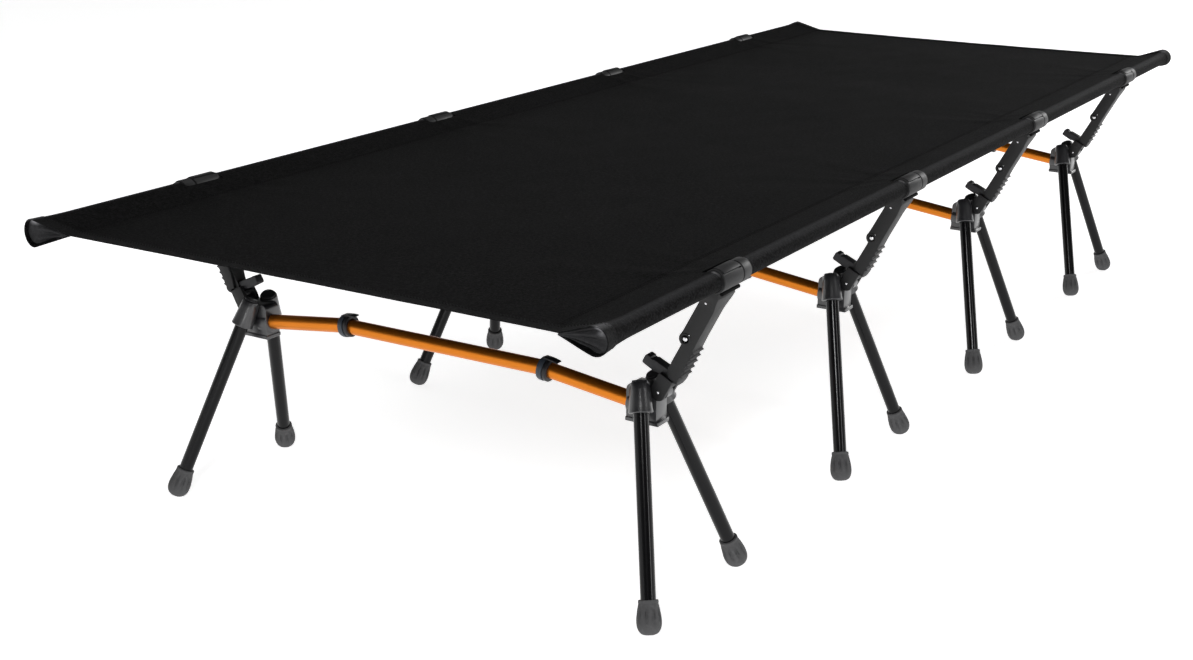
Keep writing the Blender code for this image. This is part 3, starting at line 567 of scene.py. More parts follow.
def rubbery(name, colour):
    """Matte rubber with a fine blasted surface and patches of lighter dust."""
    look = Look(name, roughness=0.78, specular=0.35)
    place = look.place()
    fine = look.noise(place, 1800.0, 2.0)
    dust = look.ramp(look.noise(place, 240.0, 4.0, 0.6), 0.50, 0.85)
    look.set("Base Color", look.mix(dust * 0.45 + fine * 0.3, tint(colour, 0.75), tint(colour, 1.9)))
    look.set("Roughness", 0.72 + fine * 0.10 + dust * 0.10)
    look.set("Normal", look.bump(fine, 0.5, 0.00012))
    return look.material


def steel(name):
    """Bright turned pin heads."""
    look = Look(name, metallic=1.0, roughness=0.22)
    place = look.place()
    marks = look.noise(place, 900.0, 2.0)
    look.set("Base Color", look.mix(marks, (0.52, 0.52, 0.54), (0.86, 0.86, 0.88)))
    look.set("Roughness", 0.16 + marks * 0.18)
    look.set("Normal", look.bump(marks, 0.08, 0.00005))
    return look.material


FLOOR_GLOW = 0.80


def floor_look(name):
    """Plain pale studio floor."""
    look = Look(name, roughness=0.55, specular=0.2)
    tone = look.noise(look.place(), 1.2, 2.0)
    look.set("Base Color", look.mix(tone, (0.86, 0.86, 0.86), (0.90, 0.90, 0.90)))
    look.set("Emission Color", (1.0, 1.0, 1.0))
    look.set("Emission Strength", FLOOR_GLOW)
    return look.material


LOOKS = {}


def look_of(name):
    """The named finish, made the first time that it is asked for."""
    if name in LOOKS:
        return LOOKS[name]
    tone = colours()
    makers = {
        "cloth": lambda: woven("cloth_weave", tuple(tone.cloth)),
        # The hem's lighter colour is a painted sheen on folds of the bed's own fabric
        "hem": lambda: woven("hem_weave_painted_sheen", tuple(tone.hem), 0.5, 1.6, 0.66),
        # The linings are the bed's own cloth with its colour made nine times lighter, a painted highlight
        # on their pleats
        "lining": lambda: woven("lining_weave_painted_highlight", tint(tone.cloth, 9.0), 0.75, 1.25, 0.7),
        "thread": lambda: thread("sewing_thread", (0.006, 0.006, 0.0065)),
        "orange": lambda: anodised("orange_anodised", tuple(tone.orange), 0.82, 0.31, 0.06),
        "leg": lambda: anodised("black_anodised", tuple(tone.leg), 0.40, 0.16, 0.2, 0.3),
        "pole": lambda: anodised("grey_anodised", tuple(tone.pole), 0.6, 0.36),
        "gloss": lambda: glossy("gloss_black", tuple(tone.gloss), 0.34),
        "grip": lambda: moulded("grey_moulding", tuple(tone.grip), 0.52, 1.0),
        "collar": lambda: moulded("collar_moulding", tint(tone.grip, 1.1), 0.52, 0.8),
        "joint": lambda: moulded("joint_moulding", tuple(tone.joint), 0.42, 0.6),
        "black": lambda: moulded("black_moulding", (0.014, 0.014, 0.016), 0.42, 0.6, 0.15),
        # The liner's near-black, barely reflecting colour is partly the black plate's own and partly a
        # painted shadow in the gap under the collar
        "liner": lambda: moulded("liner_black_and_painted_shade", (0.0015, 0.0015, 0.0017), 0.85, 0.4, 0.1, 0.12),
        "rubber": lambda: rubbery("foot_rubber", tuple(tone.rubber)),
        "steel": lambda: steel("bright_steel"),
        "floor": lambda: floor_look("studio_floor"),
    }
    LOOKS[name] = makers[name]()
    return LOOKS[name]


# Points of the linkage plane
def link(along, out, y=0.0):
    """Point measured from the hub's pivot along the line to the pole, and outboard of it."""
    return HUB_PIVOT + ALONG * along + OUT * out + Vector((0.0, y, 0.0))


def handle(along, out, y=0.0):
    """The same, measured from the lever's pivot."""
    return link(ARM_REACH + along, out - PAST_CENTRE, y)


def turns(start, end, count):
    """Angles in radians, in even steps between two that are given in degrees."""
    return [math.radians(start + (end - start) * i / count) for i in range(count + 1)]


def arc(centre, radius, start, end, count):
    """Points of an arc in X and Z, by angles in degrees from +X towards +Z."""
    angles = turns(start, end, count)
    return [centre + Vector((math.cos(turn), 0.0, math.sin(turn))) * radius for turn in angles]


def handle_arc(along, out, radius, start, end, count, place=handle):
    """Points of an arc in the directions of a lever, an arm or a tab."""
    points = []
    for turn in turns(start, end, count):
        points.append(place(along + radius * math.cos(turn), out + radius * math.sin(turn)))
    return points


def placed(place, *pairs):
    """Points from pairs of measures, each put in place by the given function."""
    return [place(*pair) for pair in pairs]


def lerp(first, second, share):
    return tuple(a + (b - a) * share for a, b in zip(first, second))


def smooth(share):
    """Ease from 0 to 1."""
    share = min(1.0, max(0.0, share))
    return share * share * (3.0 - 2.0 * share)


# Shapes
MERGE_DISTANCE = 0.000002


def tidy(bm):
    """The shape with its doubled points merged and its faces turned outwards."""
    bmesh.ops.remove_doubles(bm, verts=bm.verts, dist=MERGE_DISTANCE)
    bmesh.ops.recalc_face_normals(bm, faces=bm.faces)
    return bm


def capped(bm):
    """The shape with its open ends filled."""
    rim = [edge for edge in bm.edges if len(edge.link_faces) == 1]
    if rim:
        bmesh.ops.holes_fill(bm, edges=rim, sides=0)
    return tidy(bm)


def picked(items, kind):
    """The points or edges among what an operator returned."""
    return [item for item in items if isinstance(item, kind)]


def everything(bm):
    return bm.verts[:] + bm.edges[:] + bm.faces[:]


def round_edges(bm, edges, width, segments):
    bmesh.ops.bevel(
        bm,
        geom=edges,
        offset=width,
        offset_type="OFFSET",
        segments=segments,
        profile=0.5,
        affect="EDGES",
        clamp_overlap=True,
        material=-1,
    )


def prism(outline, low, high):
    """Outline in X and Z drawn out along Y."""
    bm = bmesh.new()
    face = bm.faces.new([bm.verts.new((point.x, low, point.z)) for point in outline])
    grown = bmesh.ops.extrude_face_region(bm, geom=[face], use_keep_orig=False)
    moved = picked(grown["geom"], bmesh.types.BMVert)
    bmesh.ops.translate(bm, verts=moved, vec=(0.0, high - low, 0.0))
    return capped(bm)


def block(low, high):
    """Box between two corners."""
    bm = bmesh.new()
    size = Vector(high) - Vector(low)
    middle = (Vector(high) + Vector(low)) / 2
    place = Matrix.Translation(middle) @ Matrix.Diagonal((*size, 1.0))
    bmesh.ops.create_cube(bm, size=1.0, matrix=place)
    return bm


def rounded_block(low, high, radius):
    """Box whose upright edges are rounded."""
    bm = block(low, high)
    tall = 0.5 * (high[2] - low[2])
    upright = [e for e in bm.edges if abs(e.verts[0].co.z - e.verts[1].co.z) > tall]
    round_edges(bm, upright, radius, 5)
    return bm


def standing(origin, direction):
    """Matrix that takes the Z axis to a direction from an origin."""
    turn = Vector(direction).to_track_quat("Z", "Y").to_matrix().to_4x4()
    return Matrix.Translation(Vector(origin)) @ turn


def turned(profile, origin, direction, steps=None):
    """Profile of (radius, height) spun a full turn about a line."""
    bm = bmesh.new()
    points = [bm.verts.new((radius, 0.0, height)) for radius, height in profile]
    edges = [bm.edges.new(pair) for pair in zip(points, points[1:])]
    bmesh.ops.spin(
        bm,
        geom=points + edges,
        cent=(0.0, 0.0, 0.0),
        axis=(0.0, 0.0, 1.0),
        angle=math.tau,
        steps=steps or sizes().round_steps,
        use_merge=True,
    )
    tidy(bm)
    bmesh.ops.transform(bm, matrix=standing(origin, direction), verts=bm.verts)
    return bm


def mirrored(half):
    """Profile that is the same at both ends, from its upper half drawn from the axis outwards."""
    return [(radius, -height) for radius, height in half] + half[::-1]


def rounded_profile(radius, length, edge, count=3):
    """Closed profile of a cylinder with rounded rims, from its bottom to its top."""
    quarter = turns(0.0, 90.0, count)
    core = radius - edge
    profile = [(0.0, 0.0)]
    profile += [(core + edge * math.sin(turn), edge - edge * math.cos(turn)) for turn in quarter]
    profile += [(core + edge * math.cos(turn), length - edge + edge * math.sin(turn)) for turn in quarter]
    return profile + [(0.0, length)]


def button(radius, rise, count=4):
    """Profile of a domed pin head, standing on its seat."""
    quarter = turns(0.0, 90.0, count)
    dome = [(radius * math.cos(turn), rise * math.sin(turn)) for turn in quarter]
    return [(0.0, -rise), (radius, -rise)] + dome


def soften(bm, width=None, angle=30.0, segments=2):
    """Round every edge that is sharper than the angle."""
    bmesh.ops.dissolve_limit(bm, angle_limit=math.radians(1.0), verts=bm.verts, edges=bm.edges)
    sharp = []
    for edge in bm.edges:
        if len(edge.link_faces) == 2 and edge.calc_face_angle(0.0) > math.radians(angle):
            sharp.append(edge)
    round_edges(bm, sharp, sizes().edge_radius if width is None else width, segments)
    return bm


def as_mesh(bm, name):
    """The shape as a mesh of its own."""
    mesh = bpy.data.meshes.new(name)
    bm.to_mesh(mesh)
    bm.free()
    return mesh


def added(name, data):
    """A new object in the scene."""
    made = bpy.data.objects.new(name, data)
    bpy.context.scene.collection.objects.link(made)
    return made


def temporary(bm, name):
    return added(name, as_mesh(bm, name))


def applied(made):
    """Mesh of an object with its modifiers applied; the object is removed."""
    bpy.context.view_layer.update()
    graph = bpy.context.evaluated_depsgraph_get()
    mesh = bpy.data.meshes.new_from_object(made.evaluated_get(graph))
    bpy.data.objects.remove(made)
    return mesh


def cut_out(body, tools):
    """Mesh of an object with every tool taken away from it; the object is removed."""
    cutters = [temporary(tool, "tool") for tool in tools]
    for cutter in cutters:
        change = body.modifiers.new("cut", "BOOLEAN")
        change.operation = "DIFFERENCE"
        change.object = cutter
        change.solver = "EXACT"
    mesh = applied(body)
    for cutter in cutters:
        bpy.data.objects.remove(cutter)
    return mesh


def carved(bm, *tools):
    """The shape with every tool taken away from it."""
    mesh = cut_out(temporary(bm, "body"), tools)
    result = bmesh.new()
    result.from_mesh(mesh)
    forget(mesh)
    return result


def forget(*meshes):
    for mesh in meshes:
        bpy.data.meshes.remove(mesh)


class Piece:
    """One piece of the scene, gathered from shapes with their finishes."""

    def __init__(self, *finishes):
        self.finishes = finishes
        self.bm = bmesh.new()

    def add(self, bm, finish=0):
        for face in bm.faces:
            face.material_index = finish
        mesh = as_mesh(bm, "part")
        self.bm.from_mesh(mesh)
        forget(mesh)

    def mesh(self, name, angle=38.0, grain=None):
        """The finished mesh. grain is a line, (origin, direction), that a tube's map follows."""
        if grain is not None:
            wrap(self.bm, *grain)
        made = as_mesh(self.bm, name)
        for finish in self.finishes:
            made.materials.append(look_of(finish))
        made.shade_smooth()
        made.set_sharp_from_angle(angle=math.radians(angle))
        return made


MAP_RADIUS = 0.01


def wrap(bm, origin, direction):
    """Map in metres round and along a line, for the drawn lines of a tube."""
    layer = bm.loops.layers.uv.new("tube")
    back = standing(origin, direction).inverted()
    for face in bm.faces:
        places = [back @ loop.vert.co for loop in face.loops]
        middle = sum(places, Vector()) / len(places)
        seam = math.atan2(middle.y, middle.x)
        for loop, place in zip(face.loops, places):
            turn = math.atan2(place.y, place.x) - seam
            turn = (turn + math.pi) % math.tau - math.pi + seam
            loop[layer].uv = (turn * MAP_RADIUS, place.z)


# Placing
def show(name, mesh, body, slot, *nodes):
    """Adds a finished mesh as a piece that rides a body and stands for CAD nodes."""
    mesh.name = name
    made = added(name, mesh)
    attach(made, body)
    if nodes:
        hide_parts(*nodes)
    return made


def show_copy(name, mesh, place, body, slot, *nodes):
    """Shows a copy of a mesh, moved to a place of its own."""
    copy = mesh.copy()
    copy.transform(place)
    return show(name, copy, body, slot, *nodes)


def halves():
    """(tag, matrix) of the eight halves of the leg units."""
    rows = []
    for i, y in enumerate(UNIT_PLACES):
        place = Matrix.Translation((0.0, y, 0.0))
        rows.append(("right_%d" % (i + 1), place))
        rows.append(("left_%d" % (i + 1), place @ Matrix.Rotation(math.pi, 4, "Z")))
    return rows


def repeat(name, mesh, body, slot, *nodes):
    """Places a copy of a mesh on every half; names hold {} where the half's tag goes."""
    for tag, place in halves():
        covered = [node.format(tag) for node in nodes]
        show_copy(name.format(tag), mesh, place, body.format(tag), slot, *covered)
    forget(mesh)


# Fabric, in columns of vertices from the left seam's underside to the right one's
SEAM_COLUMNS = 5
SLEEVE_COLUMNS = 18
PANEL_COLUMNS = 60
LAST_COLUMN = 2 * (2 * SEAM_COLUMNS + SLEEVE_COLUMNS) + PANEL_COLUMNS

# Rows along the cot, which are closer at the ends
END_ROWS = 12
END_ROW_STEP = 0.0035
MIDDLE_ROWS = 190

# Sleeves, whose mouths flare; the gap under a seam is in cloth thicknesses
SEAM_GAP = 1.2
MOUTH_LENGTH = 0.0560
MOUTH_FLARE = 1.7
MOUTH_HALF_WIDTH = {"right": 0.0140, "left": 0.0122}
MOUTH_HALF_HEIGHT = {"right": 0.0140, "left": 0.0157}
MOUTH_DROP = {"right": -0.0004, "left": 0.0037}
MOUTH_SEAM_SHIFT = {"right": 0.0100, "left": 0.0}

# Pull of the hems at the ends, and slack of the panel between the crossbars
HEM_PULL = 0.0085
HEM_PULL_SPREAD = 0.45
HEM_PULL_REACH = 0.060
PANEL_SAG = 0.0012
PANEL_SLACK = 0.00018

# Folds inboard of the collars: angle of each, its width and its share of the height
FOLD_START = 0.0120
FOLD_CENTRE = 0.045
FOLD_SPAN = 0.20
FOLD_EASE = 0.030
FOLD_RISE = 0.0024
FOLD_REACH = 0.080
FOLDS = ((0.34, 0.11, 1.0), (0.02, 0.08, 0.5), (-0.24, 0.10, 0.85), (-0.62, 0.12, 0.4))

# Openings round the collars, and those for the levers' hooks in the underside
WINDOW_INBOARD = 0.0158
WINDOW_OUTBOARD = 0.04
WINDOW_RISE = 0.03
WINDOW_GAP = 0.0007
WINDOW_ROUND = 0.004
HOOK_INBOARD = 0.0208
HOOK_GAP = 0.0018
HOOK_DROP = 0.0004
HOOK_ROUND = 0.003

# Hems, with lift and wall in cloth thicknesses
HEM_ROWS = 6
HEM_OVERHANG = 0.0005
HEM_LIFT = 0.95
HEM_WALL = 0.8

# Linings of the mouths
LINING_RINGS = 12
LINING_INSET = 0.0005
LINING_SETBACK = 0.0015
LINING_HOLLOW = 0.0085
LINING_THICKNESS = 0.0006
APEX_SHIFT = 0.002
APEX_DROP = 0.0006
PLEAT_DEPTH = 0.0036
PLEAT_TURN = 1.35

# Bindings at both ends of every opening
BINDING_GAP = 0.0002
BINDING_SINK = 0.0004
BINDING_WALL = 0.0009
BINDING_WIDTH = 0.0035
BINDING_ANGLE = 200.0
BINDING_STEPS = 26

# Stitches: rows measured from a hem's inner edge and from a seam, lifts in cloth thicknesses
STITCH_SHARE = 0.72
STITCH_RADIUS = 0.00032
HEM_STITCHES = (0.0022, 0.0056)
HEM_STITCH_LIFT = 1.4
SEAM_STITCHES = (0.0008, 0.0042)
SEAM_STITCH_LIFT = 0.6


def section(half_width, half_height, drop, seam):
    """Points (x, z) of the right sleeve from the pole's axis, from seam top to seam underside."""
    first = 90.0 + math.degrees(math.asin(min(1.0, half_height / seam)))
    around = turns(first, -first, SLEEVE_COLUMNS)
    points = [(half_width * math.cos(turn), half_height * math.sin(turn) - drop) for turn in around]
    start = (-seam, 0.0)
    end = (-seam, -sizes().cloth_thickness * SEAM_GAP)
    upper = [lerp(start, points[0], i / SEAM_COLUMNS) for i in range(SEAM_COLUMNS)]
    lower = [lerp(points[-1], end, i / SEAM_COLUMNS) for i in range(1, SEAM_COLUMNS + 1)]
    return upper + points + lower


def cross_section(y):
    """Points of the whole fabric at one place along the cot, from left seam underside to right."""
    reach = max(0.0, (abs(y) - CLOTH_HALF) / MOUTH_LENGTH + 1.0) ** MOUTH_FLARE
    radius = sizes().sleeve_radius
    rows = {}
    for side, _ in SIDES:
        wide = radius + (MOUTH_HALF_WIDTH[side] - radius) * reach
        tall = radius + (MOUTH_HALF_HEIGHT[side] - radius) * reach
        seam = sizes().seam_inset - MOUTH_SEAM_SHIFT[side] * reach
        rows[side] = section(wide, tall, MOUTH_DROP[side] * reach, seam)
    left = [(-POLE.x - x, POLE.z + z) for x, z in reversed(rows["left"])]
    right = [(POLE.x + x, POLE.z + z) for x, z in rows["right"]]
    panel = [lerp(left[-1], right[0], i / PANEL_COLUMNS) for i in range(1, PANEL_COLUMNS)]
    return left, panel, right


def fold_rise(x, y):
    """Height of the folds that fan out inboard from each collar."""
    inboard = POLE.x - FOLD_START - abs(x)
    if inboard <= 0.0:
        return 0.0
    rise = 0.0
    for i, place in enumerate(UNIT_PLACES):
        if abs(y - place) > FOLD_SPAN:
            continue
        angle = math.atan2((y - place) * (1.0 if i % 2 else -1.0), inboard + FOLD_CENTRE)
        for middle, width, share in FOLDS:
            rise += share * math.exp(-(((angle - middle) / width) ** 2))
    return FOLD_RISE * rise * math.exp(-inboard / FOLD_REACH) * smooth(inboard / FOLD_EASE)


def cloth_place(x, z, y, on_panel):
    """Pull of the end hems, the slight slack of the stretched panel and its folds."""
    edge = POLE.x - sizes().seam_inset
    part = min(1.0, abs(x) / edge)
    near_end = smooth((abs(y) - (CLOTH_HALF - HEM_PULL_REACH)) / HEM_PULL_REACH)
    fade = 1.0 - smooth((abs(x) - edge) / sizes().seam_inset)
    pull = HEM_PULL * (1.0 - HEM_PULL_SPREAD * part * part) * fade * near_end
    if on_panel:
        across = 1.0 - part * part
        bay = UNIT_PLACES[1] - UNIT_PLACES[0]
        z -= PANEL_SAG * across * (0.6 + 0.4 * math.cos(math.tau * y / bay))
        z += PANEL_SLACK * math.sin(x * 61.0 + y * 7.0) * math.sin(y * 43.0 - x * 11.0) * across
    if on_panel or z >= POLE.z:
        z += fold_rise(x, y)
    return Vector((x, y - math.copysign(pull, y), z))


def cloth_rows():
    """Places along the cot of the fabric's vertex rows."""
    close = [CLOTH_HALF - END_ROW_STEP * i for i in range(END_ROWS)]
    middle = close[-1]
    rows = [-v for v in close]
    rows += [-middle + 2 * middle * i / MIDDLE_ROWS for i in range(1, MIDDLE_ROWS)]
    return rows + close[::-1]


def bent_grid(columns, rows, place):
    """Grid whose points go where place(column, row) says, each with its spot on the cloth's map."""
    bm = bmesh.new()
    bmesh.ops.create_grid(bm, x_segments=columns, y_segments=rows, size=1.0)
    layer = bm.loops.layers.uv.new("cloth")
    bm.verts.index_update()
    spots = {}
    for vert in bm.verts:
        column = round((vert.co.x + 1.0) / 2.0 * columns)
        row = round((vert.co.y + 1.0) / 2.0 * rows)
        vert.co, spots[vert.index] = place(column, row)
    for face in bm.faces:
        for loop in face.loops:
            loop[layer].uv = spots[loop.vert.index]
    bmesh.ops.recalc_face_normals(bm, faces=bm.faces)
    return bm


def strip(rows, lift=0.0):
    """Sheet of fabric from seam to seam at the given rows, with its map in metres."""
    table = {}
    for j, y in enumerate(rows):
        left, panel, right = cross_section(y)
        places = []
        for k, (x, z) in enumerate(left + panel + right):
            places.append(cloth_place(x, z, y, len(left) - 1 <= k <= len(left) + len(panel)))
        travel = 0.0
        for k, point in enumerate(places):
            if k:
                travel += (point - places[k - 1]).length
            aside = places[min(k + 1, LAST_COLUMN)] - places[max(k - 1, 0)]
            normal = Vector((-aside.z, 0.0, aside.x)).normalized()
            table[(k, j)] = (point + normal * lift, (travel, y))
    return bent_grid(LAST_COLUMN, len(rows) - 1, lambda column, row: table[(column, row)])


def thickened(bm, thickness, name):
    """The sheet given a wall on both sides of itself."""
    made = temporary(bm, name)
    wall = made.modifiers.new("wall", "SOLIDIFY")
    wall.thickness = thickness
    wall.offset = 0.0
    return made


def clothed(mesh, finish, angle=50.0):
    """The mesh in one of the cloths, smooth but for edges sharper than the angle."""
    mesh.materials.clear()
    mesh.materials.append(look_of(finish))
    mesh.shade_smooth()
    mesh.set_sharp_from_angle(angle=math.radians(angle))
    return mesh


def window_tools():
    """Cutters for the openings that bare each collar and let its lever in from below."""
    collar = (WINDOW_INBOARD, sizes().collar_half_length + WINDOW_GAP, WINDOW_RISE, WINDOW_ROUND)
    hook = (HOOK_INBOARD, HEAD_HALF_WIDTH + HOOK_GAP, -HOOK_DROP, HOOK_ROUND)
    tools = []
    for side in (-1, 1):
        far = side * (POLE.x + WINDOW_OUTBOARD)
        for y in UNIT_PLACES:
            for inboard, half, top, radius in (collar, hook):
                near = side * (POLE.x - inboard)
                low = (min(near, far), y - half, POLE.z - WINDOW_RISE)
                high = (max(near, far), y + half, POLE.z + top)
                tools.append(rounded_block(low, high, radius))
    return tools


def make_canvas():
    """Stretched bed with a sleeve along each side."""
    body = thickened(strip(cloth_rows()), sizes().cloth_thickness, "cloth")
    mesh = clothed(cut_out(body, window_tools()), "cloth")
    return show("canvas_sheet", mesh, "cot", "canvas", "canvas")


def make_hems():
    """Folded hem round each end, over and under the sheet."""
    made = []
    cloth = sizes().cloth_thickness
    width = sizes().hem_width
    for end, sign in ENDS:
        rows = [sign * (CLOTH_HALF + HEM_OVERHANG - width * i / HEM_ROWS) for i in range(HEM_ROWS + 1)]
        body = thickened(strip(rows, cloth * HEM_LIFT), cloth * HEM_WALL, "hem")
        made.append(show("hem_" + end, clothed(applied(body), "hem"), "cot", "canvas"))
    return made


def lining(y, sign, turn, rim):
    """Gathered cloth across one mouth, from its rim to a point beside the pole."""
    apex = Vector((rim[0][0] + turn * APEX_SHIFT, y, POLE.z - APEX_DROP))

    def place(column, row):
        """Point of the pleated cloth and its spot on the map."""
        share = row / LINING_RINGS
        edge = cloth_place(*rim[column], y, False)
        hollow = LINING_HOLLOW * math.sin(math.pi * min(1.0, share * 0.9))
        pleat = PLEAT_DEPTH * math.sin(column * PLEAT_TURN) * math.sin(math.pi * share) * (0.4 + share)
        inward = Vector((0.0, sign * (hollow + pleat + LINING_SETBACK), 0.0))
        return apex.lerp(edge, 0.04 + 0.95 * share) - inward, (column * 0.002, share * 0.05)

    return bent_grid(len(rim) - 1, LINING_RINGS, place)


def make_linings():
    """Gathered cloth that closes each sleeve's mouth in front of its pole."""
    made = []
    for end, sign in ENDS:
        y = sign * (CLOTH_HALF - LINING_INSET)
        left, _, right = cross_section(y)
        rims = {"right": right, "left": left[::-1]}
        for side, turn in SIDES:
            body = thickened(lining(y, sign, turn, rims[side]), LINING_THICKNESS, "lining")
            mesh = clothed(applied(body), "lining", 180.0)
            made.append(show("sleeve_lining_%s_%s" % (side, end), mesh, "cot", "canvas"))
    return made


def along_line(points, travel, distance):
    """Point at a distance along a line of points."""
    for i in range(1, len(points)):
        if travel[i] >= distance or i == len(points) - 1:
            share = (distance - travel[i - 1]) / (travel[i] - travel[i - 1])
            return points[i - 1].lerp(points[i], share)


def stitch(start, end):
    """One stitch lying on the cloth between two needle holes."""
    bm = bmesh.new()
    direction = end - start
    place = standing((start + end) / 2, direction)
    size = Matrix.Diagonal((STITCH_RADIUS, STITCH_RADIUS, direction.length / 2, 1.0))
    bmesh.ops.create_icosphere(bm, subdivisions=1, radius=1.0, matrix=place @ size)
    return bm


def stitch_rows(lines, name):
    """Stitches along lines of points."""
    piece = Piece("thread")
    step = sizes().stitch_length
    for points in lines:
        total = 0.0
        travel = [0.0]
        for first, second in zip(points, points[1:]):
            total += (second - first).length
            travel.append(total)
        for i in range(int(total / step)):
            start = along_line(points, travel, i * step)
            end = along_line(points, travel, (i + STITCH_SHARE) * step)
            piece.add(stitch(start, end))
    return show(name, piece.mesh(name), "cot", "canvas")


def hem_line(y):
    """Line across the bed on top of its hem and round the outside of both sleeves."""
    left, panel, right = cross_section(y)
    ring = left[SEAM_COLUMNS:] + panel + right[:SEAM_COLUMNS + SLEEVE_COLUMNS + 1]
    first = len(left) - SEAM_COLUMNS - 1
    last = first + len(panel) + 1
    lift = sizes().cloth_thickness * HEM_STITCH_LIFT
    points = []
    for k, (x, z) in enumerate(ring):
        before = Vector((*ring[max(k - 1, 0)], 0.0))
        after = Vector((*ring[min(k + 1, len(ring) - 1)], 0.0))
        run = (after - before).normalized()
        place = cloth_place(x, z, y, first <= k <= last)
        points.append(place + Vector((-run.y, 0.0, run.x)) * lift)
    return points


def seam_line(x):
    """Line along a sleeve's seam from hem to hem."""
    lift = Vector((0.0, 0.0, sizes().cloth_thickness * SEAM_STITCH_LIFT))
    inner = CLOTH_HALF - sizes().hem_width
    return [cloth_place(x, POLE.z, y, True) + lift for y in cloth_rows() if abs(y) <= inner]


def make_stitches():
    """Two rows along each hem and two along each sleeve's seam."""
    made = []
    inner = CLOTH_HALF - sizes().hem_width
    edge = POLE.x - sizes().seam_inset
    for end, sign in ENDS:
        lines = [hem_line(sign * (inner + inset)) for inset in HEM_STITCHES]
        made.append(stitch_rows(lines, "hem_stitches_" + end))
    for side, turn in SIDES:
        lines = [seam_line(turn * (edge - inset)) for inset in SEAM_STITCHES]
        made.append(stitch_rows(lines, "seam_stitches_" + side))
    return made


def binding(y, sign):
    """Narrow folded edge at one end of an opening, round the Y axis, with its map in metres."""
    radius = sizes().sleeve_radius + sizes().cloth_thickness * 0.5
    inner = y + sign * (sizes().collar_half_length + WINDOW_GAP + BINDING_GAP)
    outer = inner + sign * BINDING_WIDTH
    profile = [(radius - BINDING_SINK, inner), (radius + BINDING_WALL * 0.7, inner)]
    profile.append((radius + BINDING_WALL, inner + sign * 0.0006))
    profile.append((radius + BINDING_WALL, outer - sign * 0.0008))
    profile += [(radius + BINDING_WALL * 0.3, outer), (radius - BINDING_SINK, outer)]
    bm = bmesh.new()
    points = [bm.verts.new((r, h, 0.0)) for r, h in profile]
    edges = [bm.edges.new(pair) for pair in zip(points, points[1:] + points[:1])]
    bmesh.ops.spin(
        bm,
        geom=points + edges,
        cent=(0.0, 0.0, 0.0),
        axis=(0.0, 1.0, 0.0),
        angle=math.radians(BINDING_ANGLE),
        steps=BINDING_STEPS,
        use_merge=False,
    )
    back = Matrix.Rotation(math.radians(-BINDING_ANGLE / 2), 3, "Y")
    bmesh.ops.rotate(bm, verts=bm.verts, matrix=back)
    capped(bm)
    layer = bm.loops.layers.uv.new("cloth")
    for face in bm.faces:
        for loop in face.loops:
            co = loop.vert.co
            loop[layer].uv = (math.atan2(co.z, co.x) * radius, co.y)
    return bm


def make_bindings():
    """Narrow folded edge of the sleeve at both ends of every opening."""
    made = []
    for side, turn in SIDES:
        facing = Matrix.Rotation(0.0 if turn > 0 else math.pi, 4, "Y")
        place = Matrix.Translation((turn * POLE.x, 0.0, POLE.z)) @ facing
        piece = Piece("hem")
        for y in UNIT_PLACES:
            for _, sign in ENDS:
                bm = binding(y, sign)
                bmesh.ops.transform(bm, matrix=place, verts=bm.verts)
                piece.add(bm)
        name = "sleeve_binding_" + side
        made.append(show(name, piece.mesh(name, 60.0), "cot", "canvas"))
    return made


# Poles
POLE_WALL = 0.0012
POLE_EDGE = 0.0003
PLUG_DEPTH = 0.0040
PLUG_MARGIN = 0.0014
PLUG_HEIGHT = 0.0030
PLUG_EDGE = 0.0006


def make_poles():
    """Side poles with plugged ends, and the moulded collars that the levers hold."""
    radius = sizes().pole_radius
    bore = radius - POLE_WALL
    plugged = POLE_HALF - PLUG_DEPTH
    half = [(0.0, plugged), (bore, plugged), (bore, POLE_HALF)]
    half += [(radius - POLE_EDGE, POLE_HALF), (radius, POLE_HALF - POLE_EDGE)]
    piece = Piece("pole", "black")
    piece.add(turned(mirrored(half), POLE, (0, 1, 0)))
    plug = rounded_profile(radius - PLUG_MARGIN, PLUG_HEIGHT, PLUG_EDGE)
    for _, sign in ENDS:
        piece.add(turned(plug, POLE + Vector((0, sign * plugged, 0)), (0, sign, 0)), 1)
    tube = piece.mesh("tube", 30.0, (POLE, (0, 1, 0)))
    collar = make_collar(sizes().collar_half_length, radius)
    for side, angle in (("right", 0.0), ("left", math.pi)):
        turn = Matrix.Rotation(angle, 4, "Z")
        show_copy("pole_tube_" + side, tube, turn, "cot", "pole", "pole_" + side)
        for i, y in enumerate(UNIT_PLACES):
            place = Matrix.Translation((0.0, y, 0.0)) @ turn
            show_copy("pole_collar_%s_%d" % (side, i + 1), collar, place, "cot", "pole")
    forget(tube, collar)


COLLAR_GROOVE = 0.0125
COLLAR_GROOVE_HALF = 0.0012
COLLAR_GROOVE_DEPTH = 0.0018
COLLAR_PAD_MARGIN = 0.0015
COLLAR_PAD_START = -0.0270
COLLAR_PAD_END = 0.0090
COLLAR_PAD_LOW = 45.0
COLLAR_PAD_HIGH = 105.0
COLLAR_PAD_RISE = 0.0011
COLLAR_PAD_SINK = 0.0020
COLLAR_PAD_CLEAR = 0.003


